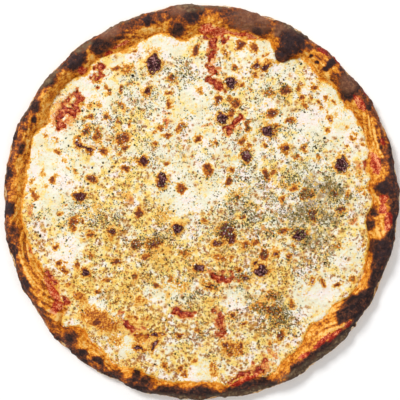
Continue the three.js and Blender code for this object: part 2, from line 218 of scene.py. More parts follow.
# Patches of the rim by tone: direction, distance from the middle, half-length along, half-width
# across. Char is burnt, brown is baked dark, milk and olive are dull browns, blue is a blue
# black, red is sauce that is baked on, and gold is paler than the rest
RIM_PATCHES = {
    "char": [
        (4.5, 147, 5.6, 7), (29.5, 155, 3.5, 2.5), (38.5, 153.5, 11, 9), (36.5, 147, 6, 5),
        (47, 152, 3, 5), (47, 146, 2.4, 2), (53, 147, 1.6, 1.5), (50.4, 145.6, 1.6, 1.2),
        (60.5, 148.5, 11, 11), (61, 137, 7, 7.5), (72, 144.5, 5, 3), (93, 148.5, 6, 5),
        (97.5, 140.5, 5, 6), (106.5, 152, 3.5, 4), (123, 149.5, 8, 7), (131.5, 151, 9, 6),
        (141.5, 155, 5, 4), (150.2, 152.5, 4.5, 4), (153.3, 149.5, 2.5, 2.5), (160, 158.5, 5, 3),
        (163.5, 149.5, 4.5, 2.2), (171.5, 156, 5, 4), (182, 155, 6, 5.5), (194.5, 154.5, 4, 3),
        (205, 155, 4, 3.5), (226, 151, 5, 4.2), (232, 155, 5, 4.5), (237, 151, 4.5, 2.6),
        (249.5, 148.5, 3, 4.5), (252.8, 149, 4, 3), (352.5, 137.4, 3.2, 2.4),
        (357, 139, 3.4, 2.2), (346, 145.5, 6, 5), (323, 146, 10, 6),
    ],
    "brown": [
        (23, 153.5, 2, 2.8), (13, 152, 2.5, 4), (30, 156, 8, 2), (55, 153.5, 4, 4.5),
        (63, 155, 9, 5), (76, 150, 20, 8.5), (70, 149, 6, 7), (82, 152.5, 7, 6), (94, 153, 17, 7),
        (101, 154, 9, 6), (97.5, 141, 7, 7.5), (111, 153.5, 9, 6), (117, 152.5, 13, 7),
        (157, 152.5, 3.5, 2.4), (163.5, 150, 6, 4), (189.5, 152, 9, 4), (200, 154, 3, 3),
        (214, 153.5, 3, 3), (226, 151, 7, 6), (250, 154, 9, 5), (254, 151.5, 5, 4),
        (352.5, 137.4, 5.5, 4.2), (357, 139, 5, 3.8), (41, 148, 10, 4), (302, 153, 8, 3),
    ],
    "milk": [
        (75, 151, 16, 8), (96, 154.5, 8, 5), (62.5, 157, 9, 4), (39, 152, 7, 7), (118, 154, 8, 5),
        (66, 153, 4, 7),
    ],
    "blue": [
        (4.5, 149, 6, 8), (47, 152, 4, 6), (60.5, 147, 12, 14), (93, 148.5, 6, 5),
        (106.5, 152, 4, 4), (131.5, 151, 8, 6), (171.5, 156, 6, 5), (182, 155, 7, 5),
        (205, 155, 5, 4), (317, 158, 5, 4), (345, 150, 9, 6), (81, 152, 7, 4), (72, 145, 5, 3),
    ],
    "olive": [
        (265, 160, 25, 5), (280, 160, 30, 6), (303, 158, 26, 5), (312, 158, 20, 4),
        (127, 157, 8, 4), (115, 160, 24, 3.5), (90, 160, 22, 4), (62, 160, 16, 3.5),
        (140, 158, 12, 4), (153, 160, 10, 3), (329, 161, 14, 2.5), (342, 160, 10, 2.5),
        (92, 156, 9, 4),
    ],
    "red": [
        (34, 160, 4, 3), (18.5, 153.5, 3, 2), (51, 156, 5, 2.2), (45, 159, 6, 3),
        (12.5, 143.8, 10, 3.8), (84, 138, 9, 4), (76, 139.5, 13, 1.6), (88, 139.8, 6, 4),
        (132, 143, 4, 3.2), (211, 139.5, 13, 2.8), (216, 144, 4, 6), (196, 141.5, 4, 2.2),
        (281, 148.5, 7, 1.8), (284.5, 147, 6, 1.8), (288, 143, 6, 5), (292.5, 138, 5, 4.5),
        (315, 151, 9, 2), (311, 147.5, 9, 2.2), (304, 148, 6, 1.6), (320.5, 153, 4.5, 1.8),
        (117, 142, 8, 1.2), (354, 150, 9, 3), (358, 146, 5, 3), (32, 150, 8, 3),
        (122, 141, 4, 1.8), (12.5, 132, 6, 4.5), (352, 124, 5, 3.4), (1, 146, 4, 3),
    ],
    "gold": [
        (294.5, 153.5, 5, 6), (146.5, 153, 5, 8), (149, 146, 5, 3), (101, 147, 6, 5.5),
        (85, 144, 8, 2.6), (22, 156.8, 5, 4), (9, 150, 4.5, 4), (25, 151, 9, 4.5),
        (219, 153, 5, 9), (315, 139, 26, 5), (324, 140, 14, 3), (48, 142, 20, 2.6),
        (153, 143, 5, 3), (172, 147, 12, 2.6), (183, 148, 8, 2), (193, 147, 10, 2.6),
        (262, 147, 20, 2), (243, 149, 9, 2.4), (108, 144, 9, 3), (114, 145, 8, 2),
        (76, 141, 18, 1.8), (335, 145, 14, 2.6), (2, 141, 7, 4), (350, 145, 6, 5),
        (233, 148, 12, 2.6), (0, 137, 5, 3), (130, 145, 10, 1.8), (17, 146, 6, 3),
        (52, 151, 5, 4.5), (180, 145.5, 12, 1.4),
    ],
}

# Dark glossy marks of the cheese: x, y, half-length, half-width, turn in degrees and, where it
# isn't 1, strength
DARK_MARKS = [
    (-38, 112, 5.6, 7.6, 0), (24, 97, 4.2, 4, 0), (17, 68, 4.8, 4.2, 20), (54, 58, 5, 4.6, 0),
    (36, 37, 4.6, 3.6, 10, 0.7), (114, 31, 4.4, 6, 0, 0.85), (-31, 18, 3.4, 5.6, 10, 0.8),
    (-98, 4, 4.6, 3.6, 0, 0.7), (-97, 46, 6, 2, -28, 0.85), (-90, 42, 3.4, 1.8, -12, 0.85),
    (-72, -24, 3.2, 3.2, 0, 0.65), (-18, -21, 4.4, 3.8, 0, 0.9), (80, -26, 5.4, 4.2, 0, 0.9),
    (49, -55, 5.8, 3.4, 10), (-92, -57, 3.4, 3, 0, 0.9), (69, 43, 2.8, 2.6, 0, 0.6),
    (-47, 34, 3.2, 3.6, 0, 0.7), (-43, 90, 3, 3.2, 0, 0.7), (-2, -52, 5.4, 2, -25, 0.75),
    (20, -23, 6, 6.5, 0, 0.58), (25, -29, 4, 3, 30, 0.62), (14, -32, 5, 2, 10, 0.6),
    (-38, -33, 6, 4, 20, 0.5), (88, 7, 4, 3, 0, 0.45), (58, -88, 6, 5, 0, 0.45),
    (63, -95, 3.4, 3, 0, 0.5), (113, -6, 3.8, 2, 0, 0.6), (53, 110, 4.6, 2, 40, 0.8),
    (45, 111, 2.2, 2, 0, 0.7), (-50, -118, 4.6, 1.5, -12), (-38, -116, 4.6, 1.5, 48),
    (44, -49, 2, 1.8, 0, 0.7), (60, -41, 2.2, 2, 0, 0.7), (-37, -107, 3.4, 2, -30),
    (8, -68, 5.6, 1.3, -12, 0.7), (-83, 99, 2.2, 1.5, 0, 0.8), (35, -61, 4, 2.6, 0, 0.7),
    (61, 61, 2, 1.6, 0, 0.7), (90, -10, 3.4, 4.6, 10, 0.6), (-33, -32, 3, 2.4, 30, 0.5),
]

# Broad toasted patches, by the same numbers
TOAST_PATCHES = [
    (-81, -95, 18, 8.5, -24, 0.6), (-84, -97, 4.5, 4, 0, 1), (-38, 117, 5, 8, 0, 0.5),
    (56, 88, 5, 4, 0, 0.75), (10, -136, 3.5, 8, 0, 0.45), (66, -137, 5, 5, 0, 0.45),
    (-60, 108, 6.5, 4, 20, 0.5), (-83, 55, 3.6, 6.5, 0, 0.65), (-64, 78, 3, 5, 30, 0.7),
    (-36, -42, 9, 3, 10, 0.35), (-70, -110, 9, 4, -30, 0.45), (36, -34, 6, 5, 0, 0.55),
    (15, -45, 6, 4, -20, 0.6), (-13, -41, 6, 3.4, -20, 0.65), (-49, -80, 6.5, 4, 0, 0.55),
    (26, -119, 10, 7, 20, 0.55), (58, -75, 6, 4.6, 0, 0.6), (48, -84, 7, 5, 0, 0.6),
    (-30, -10, 7, 9, 10, 0.28), (-56, -96, 7, 4, -40, 0.45), (128, 24, 3, 4, 0, 0.36),
    (128, 10, 5, 3, 0, 0.36), (-60, 6, 5, 3.6, 40, 0.4), (-48, -110, 6, 5, -30, 0.6),
    (110, -36, 6, 2, 0, 0.6), (124, -62, 4, 4.6, 20, 0.6), (-98, -76, 7, 4.6, -40, 0.6),
    (20, 120, 7, 2, -60, 0.5), (-85, -6, 5, 8, 20, 0.3), (30, 8, 9, 5, 10, 0.28),
    (-20, -68, 10, 5, 0, 0.3), (-58, -74, 6, 4, 0, 0.32), (70, 14, 9, 4, 0, 0.34),
]

# Small toasted spots: x, y, radius
TOAST_SPOTS = [
    (-78, 41, 4.5), (-88, 18, 5), (-60, 27, 4), (-64, 92, 3), (-57, 95, 2), (-75, 90, 3),
    (-90, 69, 3), (-76, 69, 3), (-93, 57, 3.6), (-64, 52, 4.6), (-61, 45, 3.6), (-69, 109, 3),
    (-56, 123, 3), (-26, 88, 3), (-25, 80, 3), (-23, 101, 3), (-36, 47, 3), (-28, 54, 3),
    (-17, 61, 4), (-33, 60, 3), (-38, 56, 1.8), (-2, 51, 3.6), (-27, 31, 3), (-16, 11, 4),
    (14, 82, 4), (23, 83, 3), (29, 80, 4), (25, 73, 3), (37, 63, 3), (38, 59, 4), (44, 103, 3),
    (43, 124, 3.6), (32, 127, 4), (-4, 123, 4), (28, 109, 3), (52, 118, 3), (34, 51, 3),
    (39, 45, 3), (6, 26, 5), (34, 95, 2.5), (29, 3, 2.8), (52, 22, 4), (22, 17, 4), (24, 26, 3),
    (52, 46, 2.5), (68, 91, 3.6), (57, 72, 4.5), (82, 95, 3), (92, 93, 3), (80, 91, 2.5),
    (81, 84, 3), (89, 84, 2), (102, 85, 3), (107, 81, 2), (96, 81, 2), (97, 76, 2.5),
    (84, 79, 3), (102, 73, 2), (72, 66, 3), (104, 67, 3), (83, 45, 3), (103, 58, 2.5),
    (118, 45, 2), (131, 46, 2), (123, 52, 2), (125, 56, 1.8), (108, 7, 4), (83, 7, 4),
    (98, 9, 2), (118, 6, 3), (133, 6, 2), (74, 11, 3), (77, 37, 3), (58, 25, 3), (96, 36, 2.5),
    (-104, -16, 4), (-103, -22, 3), (-96, -15, 2), (-110, -3, 2), (-114, -9, 2.5),
    (-90, -26, 4), (-117, -36, 3), (-115, -49, 3), (-109, -49, 2), (-110, -55, 3),
    (-100, -51, 3), (-68, -48, 4), (-77, -63, 3), (-88, -43, 2.5), (-107, -66, 2.5),
    (-83, -71, 2.5), (-50, -9, 4), (-53, -35, 4), (3, -15, 2.8), (34, -11, 2.6), (-46, -45, 3.4),
    (36, -34, 4), (45, -32, 3.6), (51, -42, 4), (-53, -61, 3.4), (-24, -62, 3.4), (-37, -67, 3),
    (-53, -93, 3), (-43, -93, 2), (-28, -96, 1.8), (-4, -103, 3), (-18, -107, 3.4),
    (25, -92, 3.4), (35, -98, 2.6), (-31, -106, 3), (-17, -135, 3), (-13, -139, 3),
    (-30, -132, 2.5), (-5, -127, 2.5), (20, -115, 3.4), (26, -116, 2.8), (33, -116, 3),
    (24, -123, 3), (33, -122, 2.6), (57, -113, 2.5), (65, -107, 4), (67, -23, 4),
    (75, -35, 2.5), (61, -45, 2), (72, -44, 3), (131, -35, 2.2), (110, -67, 3), (98, -64, 3),
    (90, -64, 3), (74, -82, 3), (-118, 51, 2.4), (-116, 41, 2.8), (-120, 18, 2.8),
    (-134, 5, 2.8), (-108, 28, 2), (-101, 26, 2.6), (-57, 64, 2.6), (-66, 40, 2), (-66, 66, 2.4),
    (-71, 60, 1.8), (-100, 52, 2.2), (30, -53, 2.4), (24, -45, 2.6), (12, 48, 2.4), (66, 3, 2.4),
]

# Faint golden dots: x, y
YELLOW_DOTS = [
    (-125, 54), (-128, 24), (-116, 21), (-125, 13), (-137, 17), (-110, 35), (-92, 62), (-82, 79),
    (-89, 78), (122, 25), (130, 20), (-136, 8), (-100, -12), (-96, 80), (-60, -72), (-52, -72),
    (44, -4), (2, -64), (-26, -75), (10, -78), (108, 70), (117, 60), (40, 90), (0, 90),
]

# Stains of sauce, by the numbers of the dark marks
RED_STAINS = [
    (-95, 105, 4, 3.4, 0), (-28, 64, 1.8, 5, 0), (-26, 72, 3.4, 1.2, 0), (-59, 4, 7, 3, -35),
    (138, 32, 3.4, 9, 0), (-139, -6, 2.6, 4.6, 0), (14, -60, 5.4, 4.6, 0), (30, -61, 11, 2.8, 0),
    (123, -15, 4, 2.4, 0), (54, -22, 5, 1.6, -35), (57, -122, 3, 6, 40), (21, 120, 5, 1.8, -55),
    (25, 60, 4.4, 4, 0), (-110, 72, 14, 10, 60), (-82, 106, 4, 9, 10), (8, 119, 3.4, 12, 0),
    (13, 96, 7, 4, -40), (-55, -102, 14, 5, -36), (16, -98, 3, 13, 14), (-14, -89, 9, 3, -20),
    (40, -139, 18, 5, 24), (-118, -70, 4, 16, 28), (128, 29, 3, 4, 0), (-50, -9, 4, 2.4, 0),
    (6, -55, 5, 3, -30), (12, 107, 4, 3, 0), (4, 62, 5, 1.6, 20), (-64, 78, 2.4, 3, 0),
    (82, 46, 2.4, 2, 0), (46, -33, 4, 3.4, 0), (-88, 44, 5, 3, 0),
]

# Toasted halos round the dark marks, the golden dots, and the radii of the black specks
HALO_WIDTH, HALO_STRENGTH = 1.8, 0.62
DOT_RADIUS, DOT_STRENGTH = 2.6, 0.45
SPECK_RADII = (0.9, 1.4)

# Zones of smooth plain cheese: x, y, radius
PLAIN_ZONES = [
    (-130, 30, 26), (-95, 96, 14), (-120, 0, 14), (-5, 84, 13), (-30, 134, 16), (95, -72, 17),
    (114, 70, 16), (-108, -40, 14), (-20, -70, 10), (-20, 5, 16), (28, -78, 9), (60, 118, 12),
    (-78, 88, 10), (-60, -115, 10), (0, -140, 12), (-85, -82, 7), (120, -45, 12), (10, 10, 12),
    (85, 62, 10), (-112, 55, 10), (-36, -74, 8), (100, -95, 14), (40, 132, 10),
]

# Zones of cheese that swims in oil: x, y, radius
OILY_ZONES = [
    (-38, -10, 20), (-58, -70, 20), (-62, 18, 18), (-28, -45, 22), (-75, -38, 22), (2, -92, 13),
    (-95, -60, 16), (40, -110, 10), (-45, -100, 18), (-82, 12, 18), (-55, 62, 14), (30, 78, 10),
    (20, -45, 12), (62, -62, 12), (75, 85, 9), (60, 25, 10), (-14, -128, 9),
]

# How oily the cheese is everywhere, how much more in the lower half, in those zones and near
# the rim, and how much less in the plain zones
OIL_EVERYWHERE = 0.1
OIL_OF_LOWER_HALF = 0.28
OIL_OF_ZONES = 0.6
OIL_NEAR_RIM = 0.2
PLAIN_DRYNESS = 0.75

# Where herbs lie thick: x, y, radius, strength, on top of the few that lie everywhere
HERB_PATCHES = [
    (95, -10, 24, 1.5), (88, -22, 13, 0.9), (108, 4, 13, 0.8), (100, 18, 16, 0.7),
    (58, -88, 13, 2), (52, -82, 10, 0.8), (-35, -30, 11, 1.2), (-44, -36, 7, 0.7),
    (18, -25, 13, 1), (-92, -15, 20, 0.6), (-80, -20, 12, 0.4), (60, 88, 14, 0.6),
    (40, 20, 28, 0.5), (85, 30, 24, 0.5), (50, 0, 24, 0.6), (30, -10, 14, 0.5),
    (-45, 85, 15, 0.6), (-10, 105, 15, 0.6), (-5, -78, 8, 1), (75, -95, 10, 0.6),
    (40, -77, 7, 0.8), (-130, -12, 7, 1), (5, -112, 7, 0.5), (-60, -20, 14, 0.5),
    (70, -30, 16, 0.5), (80, -50, 14, 0.4), (-25, -50, 22, 0.3), (20, -60, 22, 0.3),
    (35, -61, 6, 0.9), (-62, 68, 20, 0.3), (-55, 104, 14, 0.4), (-80, 60, 20, 0.3),
    (20, 60, 30, 0.3), (-40, 30, 30, 0.25), (0, -110, 30, 0.2), (60, -110, 24, 0.3),
    (105, -40, 18, 0.3), (120, 10, 14, 0.4), (-60, -60, 30, 0.15), (75, 60, 22, 0.3),
]
HERB_BASE = 0.1

# Zones with hardly any herbs: x, y, radius
BARE_ZONES = [
    (-135, 30, 22), (-5, 85, 10), (95, -72, 14), (115, 70, 13), (-95, 97, 12), (-60, 130, 20),
    (-20, 134, 14), (30, 134, 14), (-118, -50, 14), (-82, -96, 13), (-60, -115, 9),
    (-52, -98, 8), (0, -140, 12), (-125, 62, 10),
]

# The largest black specks: x, y
BLACK_SPECKS = [
    (84, 73), (75, 108), (81, 112), (62, 103), (67, 99), (13, 104), (-130, -27), (-30, -2),
    (15, -2), (36, -8), (-58, -61), (-59, -68), (-19, -64), (-14, -77), (77, -108), (-37, -131),
    (-79, 32), (-91, 15), (-117, 66), (-86, 75), (-78, 69), (-73, 91), (-109, 52), (-97, 30),
    (22, -19), (38, -73), (31, -20), (-49, -28), (-57, -14), (-30, -42), (28, -20), (-7, -61),
    (-16, -65), (100, 52), (64, 70), (-22, -7), (-134, -24), (38, -14), (-88, 28), (-74, 25),
]

# ---------------------------------------------------------------------------
# Forms that the solids and the looks share
# ---------------------------------------------------------------------------


def bump(distance, half_width):
    """1 at the centre of a bump, a half at its half-width."""
    return 0.5 ** ((distance / half_width) ** 2)


def turn_between(start, end):
    """The smaller turn from one direction to another, in radians."""
    return (end - start + np.pi) % (2 * np.pi) - np.pi


def step_up(value, low, high):
    """0 below low, 1 above high, smooth between."""
    share = np.clip((value - low) / (high - low), 0, 1)
    return share * share * (3 - 2 * share)


def ripple(angle, waves):
    """The sum of sine waves round the pizza, each of cycles, phase and share."""
    return sum(share * np.sin(cycles * angle + phase) for cycles, phase, share in waves)


def rim_swell(angle):
    """How far the rim swells in over the cheese."""
    return sum(inwards * bump(turn_between(angle, math.radians(at)), math.radians(half))
               for at, half, inwards in RIM_LOBES)


def rim_outer(angle):
    return PIZZA_RADIUS + ripple(angle, [(5, 0.4, 0.5), (11, 2.0, 0.35), (23, 1.1, 0.3)])


def rim_inner(angle):
    return CHEESE_RADIUS - rim_swell(angle)


def rim_height(angle):
    waves = ripple(angle, [(3, 0.8, 0.9), (7, 2.4, 0.8), (16, 0.2, 0.8)])
    return RIM_HEIGHT + waves + 0.14 * rim_swell(angle)


def rim_lump(angle, row):
    waves = [(23, 1.3 * row, 0.6), (37, 2.1 * row + 1, 0.5), (53, 3.4 * row, 0.4)]
    return RIM_LUMP * ripple(angle, waves)


def puff_rise(angle, distance):
    """How far the soft puffs lift the rim's skin."""
    rise = 0
    for at, middle, half_length, half_width, height in RIM_PUFFS:
        along = distance * turn_between(angle, math.radians(at))
        rise = rise + height * bump(along, half_length) * bump(distance - middle, half_width)
    return rise


def rim_skin(angle):
    """Radii and heights of the rim's skin from its widest line over the crest to the cheese."""
    outer, inner, height = rim_outer(angle), rim_inner(angle), rim_height(angle)
    crest = outer - np.minimum(CREST_INSET, (outer - inner) / 2)
    rise, slope = height - WIDEST_HEIGHT, height - EDGE_HEIGHT
    skin = [
        (outer, WIDEST_HEIGHT + 0 * angle),
        (outer - 0.15 * (outer - crest), WIDEST_HEIGHT + 0.5 * rise),
        (outer - 0.5 * (outer - crest), WIDEST_HEIGHT + 0.88 * rise),
        (crest, height),
        (crest - 0.3 * (crest - inner), EDGE_HEIGHT + 0.9 * slope),
        (crest - 0.6 * (crest - inner), EDGE_HEIGHT + 0.62 * slope),
        (crest - 0.85 * (crest - inner), EDGE_HEIGHT + 0.25 * slope),
    ]
    lumpy = [(radius + 0.4 * rim_lump(angle, row),
              z + rim_lump(angle, row) + puff_rise(angle, radius))
             for row, (radius, z) in enumerate(skin)]
    return lumpy + [(inner, EDGE_HEIGHT + 0 * angle)]


def cheese_hills(x, y):
    """Height of the melted cheese without its blisters."""
    across = np.sin(x / 9 + 1.2 * np.sin(y / 14))
    along = np.cos(y / 8 + 1.5 * np.sin(x / 12 + 1))
    return CHEESE_TOP + CHEESE_WAVE * (across + 0.9 * along)


def spine_distance(x, y, spine):
    """Signed distance to a streak's outline, negative inside it."""
    best = np.full(np.shape(x), np.inf)
    for (ax, ay, ah), (bx, by, bh) in zip(spine, spine[1:]):
        length2 = (bx - ax) ** 2 + (by - ay) ** 2
        share = np.clip(((x - ax) * (bx - ax) + (y - ay) * (by - ay)) / length2, 0, 1)
        reach = np.hypot(x - ax - share * (bx - ax), y - ay - share * (by - ay))
        best = np.minimum(best, reach - ah - share * (bh - ah))
    return best


def streak_distance(x, y):
    """Signed distance to the nearest place where the sauce shows."""
    return np.minimum.reduce([spine_distance(x, y, spine) for spine in SAUCE_STREAKS])


def noise(points, size, seed):
    """Smooth noise from -1 to 1 at each row of points, with lumps of about that size."""
    place = points / size + 7.31 * seed
    cell = np.floor(place).astype(np.int64)
    blend = place - cell
    blend = blend * blend * (3 - 2 * blend)
    total = np.zeros(len(points))
    for corner in itertools.product((0, 1), repeat=points.shape[1]):
        key = np.full(len(points), 40503 * seed + 17, dtype=np.int64)
        weight = np.ones(len(points))
        for axis, side in enumerate(corner):
            key = (key ^ (cell[:, axis] + side)) * 668265263 % 4294967291
            key ^= key >> 15
            weight *= blend[:, axis] if side else 1 - blend[:, axis]
        total += weight * (key % 65536 / 32767.5 - 1)
    return total


def rough(points, size, seed, octaves=3):
    """Noise of several sizes, each half as large and half as strong as the one before."""
    layers = [noise(points, size / 2 ** k, seed + k) / 2 ** k for k in range(octaves)]
    return sum(layers) / sum(0.5 ** k for k in range(octaves))


def oval_reach(x, y, at_x, at_y, half_length, half_width, turn):
    """Distance from the middle of a turned oval, 1 on its outline."""
    cos, sin = math.cos(math.radians(turn)), math.sin(math.radians(turn))
    along = ((x - at_x) * cos + (y - at_y) * sin) / half_length
    across = ((y - at_y) * cos - (x - at_x) * sin) / half_width
    return np.hypot(along, across)


def cover(x, y, patches, soft=0.55):
    """How far patches of x, y, half-length, half-width and turn cover each place, 0 to 1 or to
    the strength that a sixth number gives."""
    most = np.zeros(np.shape(x))
    for *oval, turn, strength in [(*patch, 1)[:6] for patch in patches]:
        reach = oval_reach(x, y, *oval, turn)
        share = step_up(-reach, -1 - soft / 2, -1 + soft / 2)
        most = np.maximum(most, share * strength)
    return most


def round_patches(zones):
    """Zones of x, y and radius as patches."""
    return [(x, y, radius, radius, 0) for x, y, radius in zones]


# ---------------------------------------------------------------------------
# Mesh tools
# ---------------------------------------------------------------------------


def activate(piece):
    bpy.ops.object.select_all(action="DESELECT")
    bpy.context.view_layer.objects.active = piece
    piece.select_set(True)


def name_new(name):
    """Names the primitive that was just added, and its mesh."""
    piece = bpy.context.active_object
    piece.name = piece.data.name = name
    return piece


def get_places(piece):
    """The vertices' places in mm."""
    places = np.empty(3 * len(piece.data.vertices))
    piece.data.vertices.foreach_get("co", places)
    return places.reshape(-1, 3) / MM


def set_places(piece, places):
    piece.data.vertices.foreach_set("co", (places * MM).ravel())
    piece.data.update()


def paint(piece, name, values):
    """A number from 0 to 1 at every vertex, which the piece's material reads."""
    layer = piece.data.attributes.new(name, "FLOAT", "POINT")
    layer.data.foreach_set("value", np.clip(values, 0, 1).astype(np.float32))


def edit(piece, *steps, chosen=None):
    """Runs edit-mode operators on a piece, with all or the chosen vertices selected."""
    activate(piece)
    mesh = piece.data
    picked = np.ones(len(mesh.vertices), bool) if chosen is None else chosen
    mesh.polygons.foreach_set("select", np.zeros(len(mesh.polygons), bool))
    mesh.edges.foreach_set("select", np.zeros(len(mesh.edges), bool))
    mesh.vertices.foreach_set("select", picked)
    bpy.ops.object.mode_set(mode="EDIT")
    bpy.ops.mesh.select_mode(type="VERT")
    for step in steps:
        step()
    bpy.ops.object.mode_set(mode="OBJECT")


def face_outwards():
    bpy.ops.mesh.select_all(action="SELECT")
    bpy.ops.mesh.normals_make_consistent(inside=False)


def select_open_edges():
    bpy.ops.mesh.select_mode(type="EDGE")
    bpy.ops.mesh.select_all(action="DESELECT")
    bpy.ops.mesh.select_non_manifold(extend=False, use_wire=False, use_boundary=True,
                                     use_multi_face=False, use_non_contiguous=False,
                                     use_verts=False)


def drop_vertices():
    bpy.ops.mesh.delete(type="VERT")


def drop_loose():
    bpy.ops.mesh.select_all(action="SELECT")
    bpy.ops.mesh.delete_loose(use_verts=True, use_edges=True, use_faces=False)


def open_vertices(piece):
    """Which vertices lie on an open edge."""
    mesh = piece.data
    side_of = np.empty(len(mesh.loops), dtype=np.int64)
    mesh.loops.foreach_get("edge_index", side_of)
    faces = np.bincount(side_of, minlength=len(mesh.edges))
    ends = np.empty(2 * len(mesh.edges), dtype=np.int64)
    mesh.edges.foreach_get("vertices", ends)
    on_edge = np.zeros(len(mesh.vertices), dtype=bool)
    on_edge[ends.reshape(-1, 2)[faces == 1].ravel()] = True
    return on_edge


def sheet(name, half_side, cell, reach):
    """A flat grid cut to where reach(x, y) is positive, with its border drawn onto that line."""
    bpy.ops.object.select_all(action="DESELECT")
    cuts = round(2 * half_side / cell)
    bpy.ops.mesh.primitive_grid_add(x_subdivisions=cuts, y_subdivisions=cuts,
                                    size=2 * half_side * MM)
    piece = name_new(name)
    places = get_places(piece)
    outside = reach(places[:, 0], places[:, 1]) < -0.5 * cell
    edit(piece, drop_vertices, drop_loose, chosen=outside)
    places = get_places(piece)
    border = open_vertices(piece)
    for _ in range(BORDER_PASSES):
        x, y = places[border, 0], places[border, 1]
        away, aside = reach(x, y), 0.05
        slopes = np.stack([reach(x + aside, y) - away, reach(x, y + aside) - away], axis=1) / aside
        pull = away / np.maximum((slopes ** 2).sum(axis=1), 0.4)
        places[border, :2] -= np.clip(pull[:, None] * slopes, -0.6 * cell, 0.6 * cell)
    set_places(piece, places)
    return piece


def extrude_border_down():
    select_open_edges()
    bpy.ops.mesh.extrude_edges_move(TRANSFORM_OT_translate={"value": (0, 0, -1)})


def fill_border():
    select_open_edges()
    bpy.ops.mesh.fill(use_beauty=False)


def close_below(piece, floor_height):
    """Extrudes the border of a sheet down to a flat floor and closes that floor."""
    edit(piece, extrude_border_down)
    places = get_places(piece)
    places[places[:, 2] < 0, 2] = floor_height
    set_places(piece, places)
    edit(piece, fill_border, face_outwards)


def finish_piece(piece, material, node):
    """Gives a piece its finish, hangs it on the root body and hides the part of the node that it
    stands for.
    """
    activate(piece)
    bpy.ops.object.shade_smooth_by_angle(angle=math.radians(SMOOTH_BELOW_ANGLE))
    piece.data.materials.append(material)
    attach(piece, "root")
    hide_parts(node)


# ---------------------------------------------------------------------------
# Crust
# ---------------------------------------------------------------------------


def through(points, share):
    """A smooth curve through control points, at shares from 0 to the last point's number."""
    last = len(points) - 1
    k = np.clip(np.floor(share).astype(int), 0, last - 1)
    t = (share - k)[:, None]
    before, start = points[np.maximum(k - 1, 0)], points[k]
    end, after = points[k + 1], points[np.minimum(k + 2, last)]
    return 0.5 * (2 * start + (end - before) * t
                  + (2 * before - 5 * start + 4 * end - after) * t ** 2
                  + (3 * start - before - 3 * end + after) * t ** 3)


def crust_section(angle):
    """Control points of the crust's section: from the flat underside over the crest to the
    floor under the sauce. Radii and heights, each by point and by angle."""
    outer, inner = rim_outer(angle), rim_inner(angle)
    none = 0 * angle
    underside = [
        (outer - 1.5 * UNDERSIDE_INSET, none),
        (outer - UNDERSIDE_INSET, none),
        (outer - 0.5 * UNDERSIDE_INSET, none + 0.13 * WIDEST_HEIGHT),
        (outer - 0.15 * UNDERSIDE_INSET, none + 0.5 * WIDEST_HEIGHT),
    ]
    foot = [
        (inner - 0.5 * FOOT_WIDTH, none + FLOOR + 0.3 * (EDGE_HEIGHT - FLOOR)),
        (inner - FOOT_WIDTH, none + FLOOR),
        (inner - 1.5 * FOOT_WIDTH, none + FLOOR),
    ]
    points = underside + rim_skin(angle) + foot
    return np.array([radius for radius, _ in points]), np.array([z for _, z in points])


def crust_rows(angle):
    """Radii and heights of all rings of the crust's mesh, by ring and by angle."""
    shares = [point + step / count for point, count in enumerate(RINGS_BETWEEN_POINTS)
              for step in range(count)]
    shares = np.array(shares + [len(RINGS_BETWEEN_POINTS)])
    radii, heights = crust_section(angle)
    radii, heights = through(radii, shares), through(heights, shares)
    inner_rings = np.array(INNER_RINGS)[:, None] + 0 * angle
    radii = np.vstack([inner_rings, radii, inner_rings[::-1]])
    heights = np.vstack([0 * inner_rings, heights, FLOOR + 0 * inner_rings])
    return radii, heights


def wound_strip(name, rings, steps):
    """A strip of quads, with rings across it and steps along it, to be wound round the middle."""
    bpy.ops.object.select_all(action="DESELECT")
    bpy.ops.mesh.primitive_grid_add(x_subdivisions=steps, y_subdivisions=rings - 1,
                                    size=steps * MM)
    piece = name_new(name)
    places = get_places(piece)
    step = np.rint(places[:, 0] + steps / 2).astype(int) % steps
    ring = np.rint((places[:, 1] / steps + 0.5) * (rings - 1)).astype(int)
    return piece, ring, step


def close_seam():
    bpy.ops.mesh.select_all(action="SELECT")
    bpy.ops.mesh.remove_doubles(threshold=0.001 * MM)


def fan_over():
    """Closes the chosen ring with a fan of triangles."""
    bpy.ops.mesh.edge_face_add()
    bpy.ops.mesh.poke()


def close_middle(piece, height):
    """Closes the innermost ring of the crust at one height."""
    places = get_places(piece)
    inmost = np.hypot(places[:, 0], places[:, 1]) < INNER_RINGS[0] + 1
    edit(piece, fan_over, chosen=inmost & (np.abs(places[:, 2] - height) < 1))


def skin_height(angle_deg, distance):
    """Height of the rim's skin at one direction and distance."""
    skin = rim_skin(np.array([math.radians(angle_deg)]))[::-1]
    return float(np.interp(distance, [r[0] for r, _ in skin], [z[0] for _, z in skin]))


def raise_blisters(angle, radii, heights):
    """Lifts the rim's skin to the blisters that stand on it."""
    for at, middle, half_length, half_width, height in RIM_BLISTERS:
        along = radii * turn_between(math.radians(at), angle) / half_length
        across = (radii - middle) / half_width
        inside = 1 - along ** 2 - across ** 2
        dome = skin_height(at, middle) - RIM_BLISTER_SINK
        dome = dome + (height + RIM_BLISTER_SINK) * np.sqrt(np.clip(inside, 0, None))
        lifted = (inside > 0) & (heights > FLOOR + 1)
        heights = np.where(lifted, np.maximum(heights, dome), heights)
    return heights


def strands(angle, radii):
    """Fibres of dough and cheese drawn out along the rim, slanting across it, -1 to 1."""
    slanted = 5 * (radii + 14 * np.sin(5 * angle))
    points = np.stack([80 * np.cos(angle) + 0 * radii, 80 * np.sin(angle) + 0 * radii, slanted])
    points = points.reshape(3, -1).T
    fibres = (0.7 * noise(points, 10, 21) + 0.5 * noise(points, 5.6, 22)).reshape(radii.shape)
    none = np.zeros(radii.shape)
    return fibres * (0.35 + 0.65 * along_rim(angle, radii, STRAND_ZONES, (none, none)))


